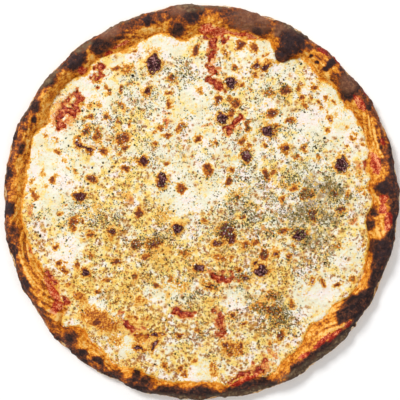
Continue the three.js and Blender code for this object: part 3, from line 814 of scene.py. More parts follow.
def crust_relief(angle, radii, heights):
    """Lumps, small blisters, pits and stretched fibres of the baked skin, in mm outwards."""
    x, y = radii * np.cos(angle), radii * np.sin(angle)
    points = np.stack([x.ravel(), y.ravel(), heights.ravel()], axis=1)
    lumps = 0.55 * rough(points, 9, 3, 2) + 0.35 * rough(points, 3, 8, 2)
    bubbles = 0.7 * step_up(noise(points, 4.4, 31), 0.25, 0.8)
    bubbles += 0.35 * step_up(noise(points, 2.3, 33), 0.3, 0.8)
    pits = -0.45 * step_up(noise(points, 2.4, 41), 0.45, 0.9)
    fibres = 0.75 * strands(angle, radii).ravel()
    slope = step_up(heights.ravel(), 5.5, 7.5) * step_up(-radii.ravel(), -156, -150)
    held_in = -0.8 * step_up(radii.ravel(), 152, 158)
    relief = (lumps + bubbles + pits + slope * fibres + held_in).reshape(radii.shape)
    baked = step_up(heights, 0.3, 3) * step_up(radii, 128, 136)
    return relief * baked


def along_rim(angle, radii, patches, drift):
    """How far patches of direction, distance, half-length and half-width cover each place."""
    most = np.zeros(radii.shape)
    for at, middle, half_length, half_width in patches:
        along = radii * turn_between(math.radians(at), angle) + drift[0]
        patch = (0, middle, half_length, half_width, 0)
        most = np.maximum(most, cover(along, radii + drift[1], [patch], 0.7))
    return most


def round_rim(angle, line):
    """A number that a line gives by direction, between its directions too."""
    return np.interp(np.degrees(angle) % 360, *zip(*line), period=360)


def paint_crust(piece, rings, angle, radii, heights):
    """The colours of the rim, as numbers at each vertex."""
    x, y = radii * np.cos(angle), radii * np.sin(angle)
    points = np.stack([x.ravel(), y.ravel()], axis=1)
    shape = radii.shape
    drift = [(1.5 * rough(points, 5, seed, 3)).reshape(shape) for seed in (51, 55)]
    ragged = (1.7 * rough(points, 4, 61, 3)).reshape(shape)
    tones = {tone: along_rim(angle, radii, patches, drift)
             for tone, patches in RIM_PATCHES.items()}
    past_line = radii + ragged - round_rim(angle, CHAR_LINE)
    char = round_rim(angle, CHAR_DEPTH) * step_up(past_line, -3, 1.4)
    crest = CREST_SHARE * step_up(radii + 0.6 * ragged, 149, 157)
    brown = BROWN_SHARE * tones.pop("brown")
    tones["burn"] = BARE_BROWNING + FULL_BURN * np.maximum.reduce(
        [char, tones.pop("char"), brown, crest])
    tones["strand"] = 0.5 + 0.6 * strands(angle, radii)
    outside = step_up(radii, 154, 158) + (heights < 5) * (radii > 148)
    tones["bread"] = np.clip(outside, 0, 1) * (1 - step_up(heights, 8.5, 11))
    tones["under"] = (heights < 1.5) * 1.0
    for tone, values in tones.items():
        paint(piece, tone, values[rings])


def build_crust(material):
    """The crust: base and rim in one closed skin."""
    angle = np.arange(RIM_STEPS) * 2 * np.pi / RIM_STEPS
    radii, heights = crust_rows(angle)
    heights = raise_blisters(angle, radii, heights)
    tangent_r = np.gradient(radii, axis=0)
    tangent_z = np.gradient(heights, axis=0)
    length = np.hypot(tangent_r, tangent_z) + 1e-9
    relief = crust_relief(angle, radii, heights)
    radii = radii + relief * tangent_z / length
    heights = np.clip(heights - relief * tangent_r / length, 0, cad_box[1][2] / MM)
    piece, ring, step = wound_strip("crust_skin", len(radii), RIM_STEPS)
    rings, turn = (ring, step), angle[step]
    set_places(piece, np.stack([radii[rings] * np.cos(turn), radii[rings] * np.sin(turn),
                                heights[rings]], axis=1))
    paint_crust(piece, rings, angle, radii, heights)
    edit(piece, close_seam)
    close_middle(piece, 0)
    close_middle(piece, FLOOR)
    edit(piece, face_outwards)
    finish_piece(piece, material, "crust")


# ---------------------------------------------------------------------------
# Sauce and cheese
# ---------------------------------------------------------------------------


def flat_points(x, y):
    return np.stack([x, y], axis=1)


def ragged_streaks(x, y):
    """Distance to the streaks' ragged outlines, with the islands left out of them."""
    points = flat_points(x, y)
    ragged = streak_distance(x, y) + 0.7 + 3.4 * noise(points, 4.6, 71)
    ragged += 2.6 * noise(points, 2.6, 72) + 1.2 * noise(points, 1.5, 73)
    wobble_x, wobble_y = 2.2 * noise(points, 3.4, 74), 2.2 * noise(points, 3.4, 77)
    for island in CHEESE_ISLANDS:
        reach = oval_reach(x + wobble_x, y + wobble_y, *island)
        ragged = np.maximum(ragged, island[3] * (1 - reach))
    return ragged


def cheese_reach(x, y):
    """Distance inwards from the cheese's ragged border."""
    points = flat_points(x, y)
    edge = rim_inner(np.arctan2(y, x)) - GAP - np.hypot(x, y)
    return np.minimum(edge + 0.5 * rough(points, 3.5, 75, 2), ragged_streaks(x, y))


def dome(distance, radius):
    """A blister's round profile, 1 in the middle and 0 beyond its foot."""
    return np.clip(1 - (distance / (1.12 * radius)) ** 2, 0, None) ** 0.8


def blister_rise(x, y):
    """How far the browned blisters lift the cheese."""
    points = flat_points(x, y)
    drift = 0.9 * rough(points, 5, 81, 2)
    small = [(at_x, at_y, radius, 0.17 * radius) for at_x, at_y, radius in SMALL_BLISTERS]
    rise = np.zeros(len(x))
    for at_x, at_y, radius, height in DARK_BLISTERS + small:
        reach = np.hypot(x - at_x + drift, y - at_y - drift)
        rise = np.maximum(rise, height * dome(reach, radius))
    return rise


def melted_height(x, y):
    """Height of the cheese with its blisters, bubbles, pits and rounded lip."""
    points = flat_points(x, y)
    rise = blister_rise(x, y)
    wrinkles = 0.4 * noise(points, 2.1, 91) * step_up(rise, 0.2, 1)
    shreds = 0.2 * rough(points, 5.5, 95, 2) + 0.16 * noise(points, 2.3, 98)
    bubbles = 0.3 * step_up(noise(points, 3.1, 101), 0.35, 0.85)
    pits = -0.3 * step_up(noise(points, 2.4, 105), 0.5, 0.9)
    inwards = cheese_reach(x, y)
    lip = 0.3 * bump(inwards - 3, 1.6) - 0.9 * (1 - step_up(inwards, -0.4, 1.8))
    return cheese_hills(x, y) + rise + wrinkles + shreds + bubbles + pits + lip


def sauce_reach(x, y):
    """Distance inwards from the sauce's border, hidden under the cheese and at the rim."""
    distance, inner = np.hypot(x, y), rim_inner(np.arctan2(y, x))
    wells = np.minimum(0.8 - streak_distance(x, y), inner + 1.5 - distance)
    return np.maximum(inner - 4.6 - distance, wells)


def sauce_height(x, y):
    """Height of the sauce: a thin layer that wells up in the streaks."""
    points = flat_points(x, y)
    pulp = 0.5 * rough(points, 3, 111, 2) + 0.4 * step_up(noise(points, 2.2, 115), 0.2, 0.8)
    well = step_up(-ragged_streaks(x, y), -0.9, 0.5)
    return SAUCE_TOP + well * (SAUCE_RISE - 0.3 + pulp)


def build_sauce(material):
    piece = sheet("sauce_layer", CHEESE_RADIUS + 8, SAUCE_CELL, sauce_reach)
    places = get_places(piece)
    places[:, 2] = sauce_height(places[:, 0], places[:, 1])
    set_places(piece, places)
    close_below(piece, FLOOR)
    finish_piece(piece, material, "sauce")


def plainness(x, y):
    """How smooth and plain the cheese is at each place, 0 to 1."""
    return cover(x, y, round_patches(PLAIN_ZONES), 1.2)


def oiliness(x, y):
    """How richly the cheese swims in oil: most in the lower half, least in the plain zones."""
    zones = cover(x, y, round_patches(OILY_ZONES), 1.2)
    lower = step_up(-y, -70, 80)
    near_rim = step_up(np.hypot(x, y), 105, 125)
    oil = OIL_EVERYWHERE + OIL_OF_LOWER_HALF * lower + OIL_OF_ZONES * zones
    return np.clip(oil + OIL_NEAR_RIM * near_rim - PLAIN_DRYNESS * plainness(x, y), 0, 1)


def cheese_tones(x, y):
    """The colours of the cheese, as numbers at each place."""
    points = flat_points(x, y)
    drift_x, drift_y = 2.9 * rough(points, 4.6, 121, 3), 2.9 * rough(points, 4.6, 125, 3)
    wx, wy = x + drift_x, y + drift_y
    halos = [(mx, my, a + HALO_WIDTH, b + HALO_WIDTH, turn)
             for mx, my, a, b, turn, *_ in DARK_MARKS]
    draw = np.random.default_rng(RANDOM_SEED)
    spots = [(mx, my, r * draw.uniform(0.85, 1.35), r * draw.uniform(0.55, 0.95),
              draw.uniform(0, 180), min(0.95, 0.45 + 0.13 * r)) for mx, my, r in TOAST_SPOTS]
    dots = [(mx, my, DOT_RADIUS, DOT_RADIUS, 0, DOT_STRENGTH) for mx, my in YELLOW_DOTS]
    toast = np.maximum.reduce([
        cover(wx, wy, spots, 1.5), cover(wx, wy, TOAST_PATCHES, 1.1),
        HALO_STRENGTH * cover(wx, wy, halos, 1.0), cover(wx, wy, dots, 1.4),
    ])
    edge = rim_inner(np.arctan2(y, x)) - np.hypot(x, y)
    streak = 1 - step_up(ragged_streaks(x, y), 0.3, 2.6 + 1.6 * rough(points, 6, 151, 2))
    islands = 0.55 * cover(x, y, CHEESE_ISLANDS, 0.5)
    return {
        "toast": toast,
        "dark": cover(wx, wy, DARK_MARKS, 0.7),
        "red": np.maximum(0.6 * cover(wx, wy, RED_STAINS, 1.2), 0.75 * streak) * (1 - islands),
        "plain": plainness(x, y) * (1 - toast),
        "oily": oiliness(x, y),
        "rimside": 1 - step_up(edge + 1.2 * drift_x, 0.2, 4),
        "freckle": np.clip(0.25 + 0.45 * step_up(-y, -60, 60) + 0.3 * oiliness(x, y), 0, 1),
        "dust": herb_share(x, y) * (0.75 + 0.6 * rough(points, 6, 141, 3)),
    }


def build_cheese(material):
    piece = sheet("cheese_melt", CHEESE_RADIUS + 10, CHEESE_CELL, cheese_reach)
    places = get_places(piece)
    x, y = places[:, 0], places[:, 1]
    places[:, 2] = melted_height(x, y)
    set_places(piece, places)
    close_below(piece, SAUCE_TOP)
    places = get_places(piece)
    for tone, values in cheese_tones(places[:, 0], places[:, 1]).items():
        paint(piece, tone, values)
    finish_piece(piece, material, "cheese")


# ---------------------------------------------------------------------------
# Herbs
# ---------------------------------------------------------------------------


def herb_share(x, y):
    """How thickly herbs lie at each place, 0 to 1."""
    share = HERB_BASE + sum(strength * bump(np.hypot(x - at_x, y - at_y), radius * 0.8)
                            for at_x, at_y, radius, strength in HERB_PATCHES) * 0.62
    bare = cover(x, y, round_patches(BARE_ZONES), 0.8)
    margin = step_up(np.hypot(x, y), 112, 136)
    crisp_and_glints = cover(x, y, DARK_MARKS, 0.6)
    share = share * (1 - 0.8 * bare) * (1 - 0.6 * margin) * (1 - 0.4 * plainness(x, y))
    return np.clip(share * (1 - 0.8 * crisp_and_glints), 0, 1)


def granule_share(x, y):
    """How thickly pale granules lie: everywhere but on the dark marks, most among the herbs."""
    return (0.35 + 0.65 * herb_share(x, y)) * (1 - cover(x, y, DARK_MARKS, 0.6))


def seeded_draws(state):
    """Endless numbers from 0 to 1, the same ones that place the solids' flakes."""
    while True:
        state = (state * 1664525 + 1013904223) % 4294967296
        yield state / 4294967296


def lies_on_cheese(x, y, clearance):
    inside = math.hypot(x, y) < rim_inner(math.atan2(y, x)) - 3 * clearance
    return inside and not any(math.hypot(x - sauce_x, y - sauce_y) < half + 2 * clearance
                              for spine in SAUCE_STREAKS for sauce_x, sauce_y, half in spine)


def large_flakes():
    """x, y, half-length, half-width and turn of the flakes that the solids show too."""
    draw = seeded_draws(RANDOM_SEED)
    places = []
    while len(places) < FLAKE_COUNT:
        zone_x, zone_y, zone_radius = HERB_ZONES[int(next(draw) * len(HERB_ZONES))]
        reach = zone_radius * math.sqrt(next(draw))
        angle = 2 * math.pi * next(draw)
        x, y = zone_x + reach * math.cos(angle), zone_y + reach * math.sin(angle)
        apart = all(math.hypot(px - x, py - y) > 2 * FLAKE_LENGTH for px, py in places)
        if apart and lies_on_cheese(x, y, FLAKE_LENGTH):
            places.append((x, y))
    flakes = []
    for x, y in places:
        half_length = 0.5 * FLAKE_LENGTH * (0.7 + 0.5 * next(draw))
        half_width = half_length * (0.45 + 0.3 * next(draw))
        flakes.append((x, y, half_length, half_width, 2 * math.pi * next(draw)))
    return np.array(flakes)


def scattered(count, seed, share, clearance=0.8):
    """Places on the cheese, as many as count, drawn as thickly as share(x, y) says."""
    draw = np.random.default_rng(seed)
    kept = np.empty((0, 2))
    while len(kept) < count:
        tried = draw.uniform(-CHEESE_RADIUS, CHEESE_RADIUS, (4 * count, 2))
        x, y = tried.T
        clump = 0.5 + 1.1 * rough(tried, 9, 131, 3) + 0.7 * noise(tried, 3.2, 135)
        lands = draw.random(len(tried)) < share(x, y) * np.clip(clump, 0.04, 1.6)
        kept = np.vstack([kept, tried[lands & (cheese_reach(x, y) > clearance)]])
    return kept[:count]


def leaf_bit():
    """A dry crumbled leaf bit: a thin five-sided blade with a smaller top, a unit in radius."""
    bpy.ops.object.select_all(action="DESELECT")
    bpy.ops.mesh.primitive_circle_add(vertices=5, radius=1, fill_type="NGON")
    bit = name_new("leaf_bit")

    def thicken():
        bpy.ops.mesh.extrude_region_move(TRANSFORM_OT_translate={"value": (0, 0, 0.3)})
        bpy.ops.transform.resize(value=(0.7, 0.8, 1))

    edit(bit, thicken, face_outwards)
    return bit


def stalk_bit():
    """A bit of stalk: a straight four-sided rod, two units long."""
    bpy.ops.object.select_all(action="DESELECT")
    bpy.ops.mesh.primitive_cylinder_add(vertices=4, radius=0.3, depth=2,
                                        rotation=(0, math.pi / 2, 0))
    bit = name_new("stalk_bit")
    bpy.ops.object.transform_apply(location=True, rotation=True, scale=True)
    edit(bit, face_outwards)
    return bit


def crumb_bit():
    """A crumb: a squashed ball of few faces, a unit in radius."""
    bpy.ops.object.select_all(action="DESELECT")
    bpy.ops.mesh.primitive_ico_sphere_add(subdivisions=1, radius=1)
    bit = name_new("crumb_bit")
    edit(bit, lambda: bpy.ops.transform.resize(value=(1, 0.8, 0.7)))
    return bit


def strew(name, bit, places, sizes, seed, material):
    """One mesh of many copies of a bit, each made uneven, turned, tilted and tinted on its own."""
    draw = np.random.default_rng(seed)
    count, step = len(places), len(bit.data.vertices)
    corners = get_places(bit) * MM
    shapes = corners[None] * draw.uniform(0.75, 1.25, (count, step, 1))
    shapes = shapes * sizes[:, None, :]
    turn = draw.uniform(0, 2 * math.pi, count)
    tilt = draw.normal(0, BIT_TILT, (count, 2))
    shapes[:, :, 2] += shapes[:, :, 0] * tilt[:, :1] + shapes[:, :, 1] * tilt[:, 1:]
    cos, sin = np.cos(turn)[:, None], np.sin(turn)[:, None]
    x = places[:, :1] + shapes[:, :, 0] * cos - shapes[:, :, 1] * sin
    y = places[:, 1:2] + shapes[:, :, 0] * sin + shapes[:, :, 1] * cos
    z = places[:, 2:] + shapes[:, :, 2]
    faces = [tuple(corner + bit_number * step for corner in face.vertices)
             for bit_number in range(count) for face in bit.data.polygons]
    mesh = bpy.data.meshes.new(name)
    mesh.from_pydata(np.stack([x, y, z], axis=2).reshape(-1, 3) * MM, [], faces)
    piece = bpy.data.objects.new(name, mesh)
    bpy.context.collection.objects.link(piece)
    bpy.data.objects.remove(bit)
    paint(piece, "tint", np.repeat(draw.random(count), step))
    paint(piece, "oily", np.repeat(oiliness(places[:, 0], places[:, 1]), step))
    finish_piece(piece, material, "cheese")


def laid_on(places, lift):
    """Adds the height of the cheese, and a little lift, to places of x and y."""
    height = melted_height(places[:, 0], places[:, 1]) + lift
    return np.column_stack([places, height])


def build_leaves(material):
    draw = np.random.default_rng(RANDOM_SEED)
    places = scattered(LEAF_COUNT, RANDOM_SEED + 1, herb_share)
    length = draw.lognormal(math.log(LEAF_HALF_LENGTH), 0.32, LEAF_COUNT)
    sizes = np.column_stack([length, length * draw.uniform(0.45, 0.8, LEAF_COUNT),
                             draw.uniform(0.35, 0.6, LEAF_COUNT)])
    flakes = large_flakes()
    places = np.vstack([places, flakes[:, :2]])
    large = np.column_stack([flakes[:, 2:4], np.full(len(flakes), 0.7)])
    strew("herb_leaves", leaf_bit(), laid_on(places, LEAF_LIFT), np.vstack([sizes, large]), 5,
          material)


def build_stalks(material):
    draw = np.random.default_rng(RANDOM_SEED + 2)
    places = scattered(STALK_COUNT, RANDOM_SEED + 3, herb_share)
    length = draw.lognormal(math.log(STALK_HALF_LENGTH), 0.35, STALK_COUNT)
    thick = draw.uniform(0.35, 0.6, STALK_COUNT)
    sizes = np.column_stack([length, thick, thick])
    strew("herb_stalks", stalk_bit(), laid_on(places, STALK_LIFT), sizes, 6, material)


def build_crumbs(material):
    draw = np.random.default_rng(RANDOM_SEED + 4)
    places = scattered(CRUMB_COUNT, RANDOM_SEED + 5, herb_share)
    radius = draw.lognormal(math.log(CRUMB_RADIUS), 0.3, CRUMB_COUNT)
    specks = np.array(BLACK_SPECKS, float)
    places = np.vstack([places, specks])
    radius = np.concatenate([radius, draw.uniform(*SPECK_RADII, len(specks))])
    sizes = np.column_stack([radius, radius, radius * 0.7])
    strew("herb_crumbs", crumb_bit(), laid_on(places, CRUMB_LIFT), sizes, 7, material)


def build_granules(material):
    """Pale granules of grated cheese that lie among the herbs."""
    draw = np.random.default_rng(RANDOM_SEED + 6)
    places = scattered(GRANULE_COUNT, RANDOM_SEED + 7, granule_share)
    radius = draw.lognormal(math.log(GRANULE_RADIUS), 0.28, GRANULE_COUNT)
    sizes = np.column_stack([radius, radius * draw.uniform(0.6, 1, GRANULE_COUNT), radius * 0.8])
    strew("cheese_granules", crumb_bit(), laid_on(places, CRUMB_LIFT), sizes, 8, material)


# ---------------------------------------------------------------------------
# Materials
# ---------------------------------------------------------------------------


def colour(red, green, blue):
    """A colour given from 0 to 255 as it looks, as the linear values that shaders take."""
    shares = [value / 255 for value in (red, green, blue)]
    linear = [s / 12.92 if s <= 0.04045 else ((s + 0.055) / 1.055) ** 2.4 for s in shares]
    return (*linear, 1)


# Tones laid over one another, each from where a share reaches the first number to where it
# reaches the second, at most as strongly as the third, in a colour
OIL_TONES = [
    (0.2, 0.42, 1, (252, 234, 176)), (0.44, 0.68, 1, (253, 225, 132)),
    (0.8, 1.02, 1, (242, 188, 76)),
]
SMEAR_TONES = [(0.45, 0.9, 0.7, (164, 128, 72)), (0.85, 1.15, 0.85, (92, 66, 38))]
STAIN_TONES = [
    (0.12, 0.42, 1, (240, 168, 84)), (0.4, 0.62, 1, (206, 98, 50)), (0.6, 0.9, 1, (160, 44, 18)),
]
TOAST_TONES = [
    (0.08, 0.28, 1, (248, 204, 104)), (0.28, 0.48, 1, (222, 140, 32)),
    (0.48, 0.7, 1, (168, 82, 12)), (0.72, 0.95, 1, (102, 40, 14)),
]
RIMSIDE_TONES = [(0.35, 0.6, 1, (248, 206, 96)), (0.6, 0.95, 1, (228, 148, 38))]

# Round freckles of the cheese: size of the cells they sit in, their reach and how seldom they are
FRECKLES = [(7.5, 0.25, 0.56), (4.2, 0.27, 0.58)]

# Strewn bits' three tints where they lie dry, and three where they lie in oil
LEAF_TINTS = ([(66, 62, 32), (126, 120, 70), (186, 176, 118)],
              [(60, 42, 14), (112, 84, 36), (168, 130, 70)])
STALK_TINTS = ([(86, 72, 38), (142, 124, 72), (200, 180, 122)],
               [(80, 52, 22), (130, 92, 44), (184, 142, 80)])
CRUMB_TINTS = ([(38, 34, 18), (72, 66, 36), (124, 114, 70)],
               [(38, 22, 8), (74, 48, 20), (120, 84, 42)])
GRANULE_TINTS = ([(244, 232, 204), (250, 243, 224), (255, 253, 246)],
                 [(238, 204, 132), (250, 230, 170), (254, 243, 212)])


class Finish:
    """A material under construction, whose patterns read object coordinates in mm. Colours are
    given from 0 to 255."""

    def __init__(self, name):
        self.material = bpy.data.materials.new(name)
        self.material.use_nodes = True
        self.tree = self.material.node_tree
        self.shader = self.tree.nodes["Principled BSDF"]
        place = self.node("ShaderNodeMapping", {"Scale": (1 / MM, 1 / MM, 1 / MM)})
        source = self.node("ShaderNodeTexCoord")
        self.tree.links.new(source.outputs["Object"], place.inputs["Vector"])
        self.place = place.outputs["Vector"]

    def node(self, kind, inputs=None, **settings):
        made = self.tree.nodes.new(kind)
        for setting, value in settings.items():
            setattr(made, setting, value)
        for socket, value in (inputs or {}).items():
            self.feed(made.inputs[socket], value)
        return made

    def feed(self, socket, value):
        """Links an output to a socket, or sets the socket to a plain value or colour."""
        if isinstance(value, bpy.types.NodeSocket):
            self.tree.links.new(value, socket)
        else:
            socket.default_value = colour(*value) if socket.type == "RGBA" else value

    def mark(self, name):
        """A number that was painted on the vertices."""
        return self.node("ShaderNodeAttribute", attribute_name=name).outputs["Fac"]

    def grain(self, size, detail=3.0, rough=0.55):
        """Noise from 0 to 1 with lumps of a size in mm."""
        inputs = {"Vector": self.place, "Scale": 1 / size, "Detail": detail, "Roughness": rough}
        return self.node("ShaderNodeTexNoise", inputs).outputs["Fac"]

    def cells(self, size, output="Distance"):
        """Flat cells of a size in mm: the distance to the nearest centre, or its own colour."""
        inputs = {"Vector": self.place, "Scale": 1 / size}
        made = self.node("ShaderNodeTexVoronoi", inputs, voronoi_dimensions="2D")
        return made.outputs[output]

    def spread(self, value, low=0.36, high=0.64, start=0.0, end=1.0, kind="LINEAR"):
        """Stretches the narrow middle range of a noise to start and end."""
        inputs = {"Value": value, "From Min": low, "From Max": high, "To Min": start,
                  "To Max": end}
        made = self.node("ShaderNodeMapRange", inputs, interpolation_type=kind)
        return made.outputs["Result"]

    def step(self, value, low, high, start=0.0, end=1.0):
        """Smoothly from start to end as the value goes from low to high."""
        return self.spread(value, low, high, start, end, "SMOOTHSTEP")

    def sum(self, first, second, kind="ADD"):
        return self.node("ShaderNodeMath", {0: first, 1: second}, operation=kind).outputs[0]

    def times(self, first, second):
        return self.sum(first, second, "MULTIPLY")

    def stir(self, value, noise, amount):
        """The value with noise added to it, from -amount to amount."""
        return self.sum(value, self.spread(noise, start=-amount, end=amount))

    def layered(self, coarse, fine, share):
        """Coarse and fine noise as one tone from 0 to 1, of which the coarse noise has a share."""
        return self.sum(self.spread(coarse, 0.34, 0.66, 0.0, share),
                        self.spread(fine, 0.3, 0.7, 0.0, 1 - share))

    def blend(self, share, first, second):
        """The first colour, turned into the second by share."""
        made = self.node("ShaderNodeMix", data_type="RGBA")
        for name, value in (("Factor_Float", share), ("A_Color", first), ("B_Color", second)):
            socket = next(each for each in made.inputs if each.identifier == name)
            self.feed(socket, value)
        return next(each for each in made.outputs if each.identifier == "Result_Color")

    def over(self, base, share, low, high, shade, most=1.0):
        """Lays a colour over the base as share goes from low to high, at most so strongly."""
        return self.blend(self.step(share, low, high, 0.0, most), base, shade)

    def layers(self, base, share, tones):
        """Lays tones over the base one after another as share rises."""
        for low, high, most, shade in tones:
            base = self.over(base, share, low, high, shade, most)
        return base

    def ramp(self, value, *stops):
        """Colours at positions from 0 to 1."""
        made = self.node("ShaderNodeValToRGB", {"Fac": value})
        marks = made.color_ramp.elements
        while len(marks) < len(stops):
            marks.new(0.5)
        for mark, (position, *shade) in zip(marks, stops):
            mark.position, mark.color = position, colour(*shade)
        return made.outputs["Color"]

    def set(self, **values):
        """Sets or links the shader's sockets, named with _ for each space."""
        for name, value in values.items():
            self.feed(self.shader.inputs[name.replace("_", " ")], value)

    def relief(self, height, depth, strength):
        """Bumps of a depth in mm, drawn by the light alone."""
        inputs = {"Height": height, "Distance": depth * MM, "Strength": strength}
        self.set(Normal=self.node("ShaderNodeBump", inputs).outputs["Normal"])


def crust_finish():
    """Baked dough: oily orange slope, brown to charred crest, tan outer wall and underside."""
    skin = Finish("baked_crust")
    fine, small = skin.grain(0.8, 4, 0.6), skin.grain(1.5, 3, 0.6)
    mottle, coarse = skin.grain(3.4, 4, 0.6), skin.grain(9, 4, 0.6)
    burn = browning(skin, [(mottle, 0.18), (small, 0.11), (fine, 0.06), (coarse, 0.05)])
    base = skin.ramp(burn, (0.0, 255, 206, 120), (0.1, 248, 176, 64), (0.23, 230, 144, 36),
                     (0.35, 198, 108, 22), (0.46, 158, 76, 18), (0.57, 120, 60, 28),
                     (0.68, 88, 48, 32), (0.8, 64, 37, 29), (0.9, 46, 26, 23),
                     (1.0, 32, 17, 17))
    milk = skin.ramp(skin.sum(skin.spread(mottle, 0.36, 0.64, 0.0, 0.6), skin.times(small, 0.4)),
                     (0.1, 84, 53, 42), (0.45, 118, 74, 54), (0.8, 156, 106, 72))
    blue = skin.ramp(small, (0.38, 30, 18, 20), (0.62, 62, 42, 44))
    olive = skin.ramp(skin.spread(mottle), (0.1, 74, 54, 38), (0.5, 104, 82, 58),
                      (0.9, 146, 120, 88))
    charred = skin.times(skin.step(burn, 0.5, 0.75), 0.7)
    for tone, share, shade in (("milk", skin.spread(small, 0.3, 0.6, 0.6, 1.0), milk),
                               ("blue", charred, blue),
                               ("olive", skin.spread(small, 0.3, 0.6, 0.3, 0.9), olive)):
        base = skin.blend(skin.times(skin.mark(tone), share), base, shade)
    base = reddened(skin, base, burn, mottle, fine)
    wall = skin.stir(skin.stir(skin.mark("bread"), mottle, 0.3), small, 0.12)
    base = skin.over(base, wall, 0.4, 0.75, wall_colours(skin, mottle, small))
    base = skin.blend(skin.mark("under"), base, underside_colours(skin, fine))
    skin.set(Base_Color=base, Specular_IOR_Level=0.22,
             Roughness=skin.step(skin.sum(burn, skin.times(fine, 0.4)), 0.3, 1.0, 0.34, 0.7))
    height = skin.sum(skin.times(mottle, 0.7), skin.times(small, 0.6))
    skin.relief(skin.sum(height, skin.times(fine, 0.5)), 0.8, 0.9)
    return skin.material


def browning(skin, stirred):
    """How far the crust is browned, 0 to 1: stirred with noise, and darker between the fibres."""
    burn = skin.mark("burn")
    for grain, amount in stirred:
        burn = skin.stir(burn, grain, amount)
    fibres = skin.times(skin.spread(skin.mark("strand"), 0.1, 0.9, 0.3, -0.25),
                        skin.step(skin.mark("burn"), 0.45, 0.65, 1.0, 0.3))
    return skin.sum(skin.sum(burn, fibres), skin.times(skin.mark("gold"), -0.08))


def reddened(skin, base, burn, mottle, fine):
    """Sauce that is baked onto the rim."""
    red = skin.ramp(skin.stir(burn, fine, 0.2), (0.0, 246, 170, 116), (0.2, 222, 96, 44),
                    (0.35, 184, 42, 14), (0.6, 122, 18, 4))
    share = skin.sum(skin.stir(skin.mark("red"), mottle, 0.25),
                     skin.spread(skin.mark("strand"), 0.1, 0.9, -0.2, 0.2))
    return skin.over(base, share, 0.35, 0.75, red)


def wall_colours(skin, mottle, small):
    """The outer wall: tan bread with brown blisters and a dusting of flour."""
    bread = skin.ramp(skin.layered(mottle, small, 0.7), (0.08, 104, 62, 30), (0.3, 166, 112, 60),
                      (0.55, 206, 158, 102), (0.85, 230, 196, 148))
    flour = skin.sum(skin.grain(5, 3), skin.times(small, 0.5))
    return skin.over(bread, flour, 0.78, 0.95, (240, 226, 204), 0.6)


def underside_colours(skin, fine):
    """The underside: floury bread with brown scorched spots."""
    return skin.ramp(skin.layered(skin.grain(13, 5, 0.6), fine, 0.85), (0.1, 74, 44, 26),
                     (0.26, 132, 86, 48), (0.45, 196, 150, 98), (0.8, 228, 196, 150))


def sauce_finish():
    """Glossy cooked tomato sauce with pulp and scorched edges."""
    sauce = Finish("tomato_sauce")
    pulp, fine = sauce.grain(2.4, 4, 0.6), sauce.grain(0.8, 3)
    base = sauce.ramp(sauce.layered(pulp, fine, 0.75), (0.05, 70, 6, 2), (0.28, 124, 18, 2),
                      (0.48, 162, 44, 12), (0.66, 196, 86, 36), (0.88, 236, 160, 100))
    sauce.set(Base_Color=base, Roughness=sauce.step(fine, 0.3, 0.7, 0.14, 0.36),
              Specular_IOR_Level=0.25)
    sauce.relief(sauce.sum(pulp, sauce.times(fine, 0.5)), 0.8, 0.9)
    return sauce.material


def cheese_finish():
    """Melted cheese: cream with oily yellow mottling, golden spots and glossy dark blisters, whose
    pale pinkish flecks are partly light fat and partly painted highlights.
    """
    melt = Finish("melted_cheese")
    fine, small = melt.grain(0.8, 3), melt.grain(1.5, 3, 0.6)
    mid, coarse = melt.spread(melt.grain(4.6, 3, 0.5)), melt.spread(melt.grain(12, 3, 0.5))
    base = freckled(melt, oiled_cream(melt, mid, coarse), small, mid)
    base = melt.layers(base, melt.stir(melt.mark("dust"), small, 0.3), SMEAR_TONES)
    base = melt.layers(base, melt.stir(melt.mark("red"), small, 0.25), STAIN_TONES)
    toast = melt.sum(melt.stir(melt.mark("toast"), small, 0.22),
                     melt.spread(mid, 0.0, 1.0, -0.12, 0.12))
    base = melt.layers(base, toast, TOAST_TONES)
    dark = melt.stir(melt.mark("dark"), small, 0.22)
    # The dark blisters' crisp skin, near black to red brown. Its palest pinkish stop is partly
    # light fat flecks and partly painted glints, highlights painted into the colour.
    crisp_and_glints = melt.ramp(melt.sum(melt.spread(small, start=0.0, end=0.7), melt.times(mid, 0.3)),
                      (0.18, 22, 0, 4), (0.42, 60, 16, 20), (0.66, 110, 60, 62),
                      (0.9, 196, 144, 140))
    base = melt.over(base, dark, 0.25, 0.5, (104, 38, 18))
    base = melt.over(base, dark, 0.5, 0.75, crisp_and_glints)
    base = melt.layers(base, melt.stir(melt.mark("rimside"), small, 0.25), RIMSIDE_TONES)
    gloss = melt.step(melt.sum(dark, melt.times(mid, 0.3)), 0.2, 0.9, 0.4, 0.16)
    melt.set(Base_Color=base, Roughness=gloss, Specular_IOR_Level=0.25,
             Subsurface_Weight=0.1, Subsurface_Radius=(2.0, 1.4, 0.8), Subsurface_Scale=MM)
    height = melt.sum(melt.times(mid, 0.25),
                      melt.sum(melt.times(small, 0.6), melt.times(fine, 0.65)))
    height = melt.sum(height, melt.times(melt.step(dark, 0.3, 0.8), melt.times(fine, 1.2)))
    melt.relief(height, 1.0, 0.9)
    return melt.material


def oiled_cream(melt, mid, coarse):
    """Cream white that turns yellow and amber where the cheese swims in oil."""
    cream = melt.ramp(coarse, (0.0, 253, 240, 230), (0.25, 251, 245, 226), (0.65, 243, 239, 210),
                      (1.0, 244, 232, 192))
    oil = melt.sum(melt.times(mid, 0.78), melt.times(coarse, 0.4))
    oil = melt.sum(oil, melt.spread(melt.mark("oily"), 0.0, 1.0, -0.55, 0.12))
    return melt.layers(cream, oil, OIL_TONES)


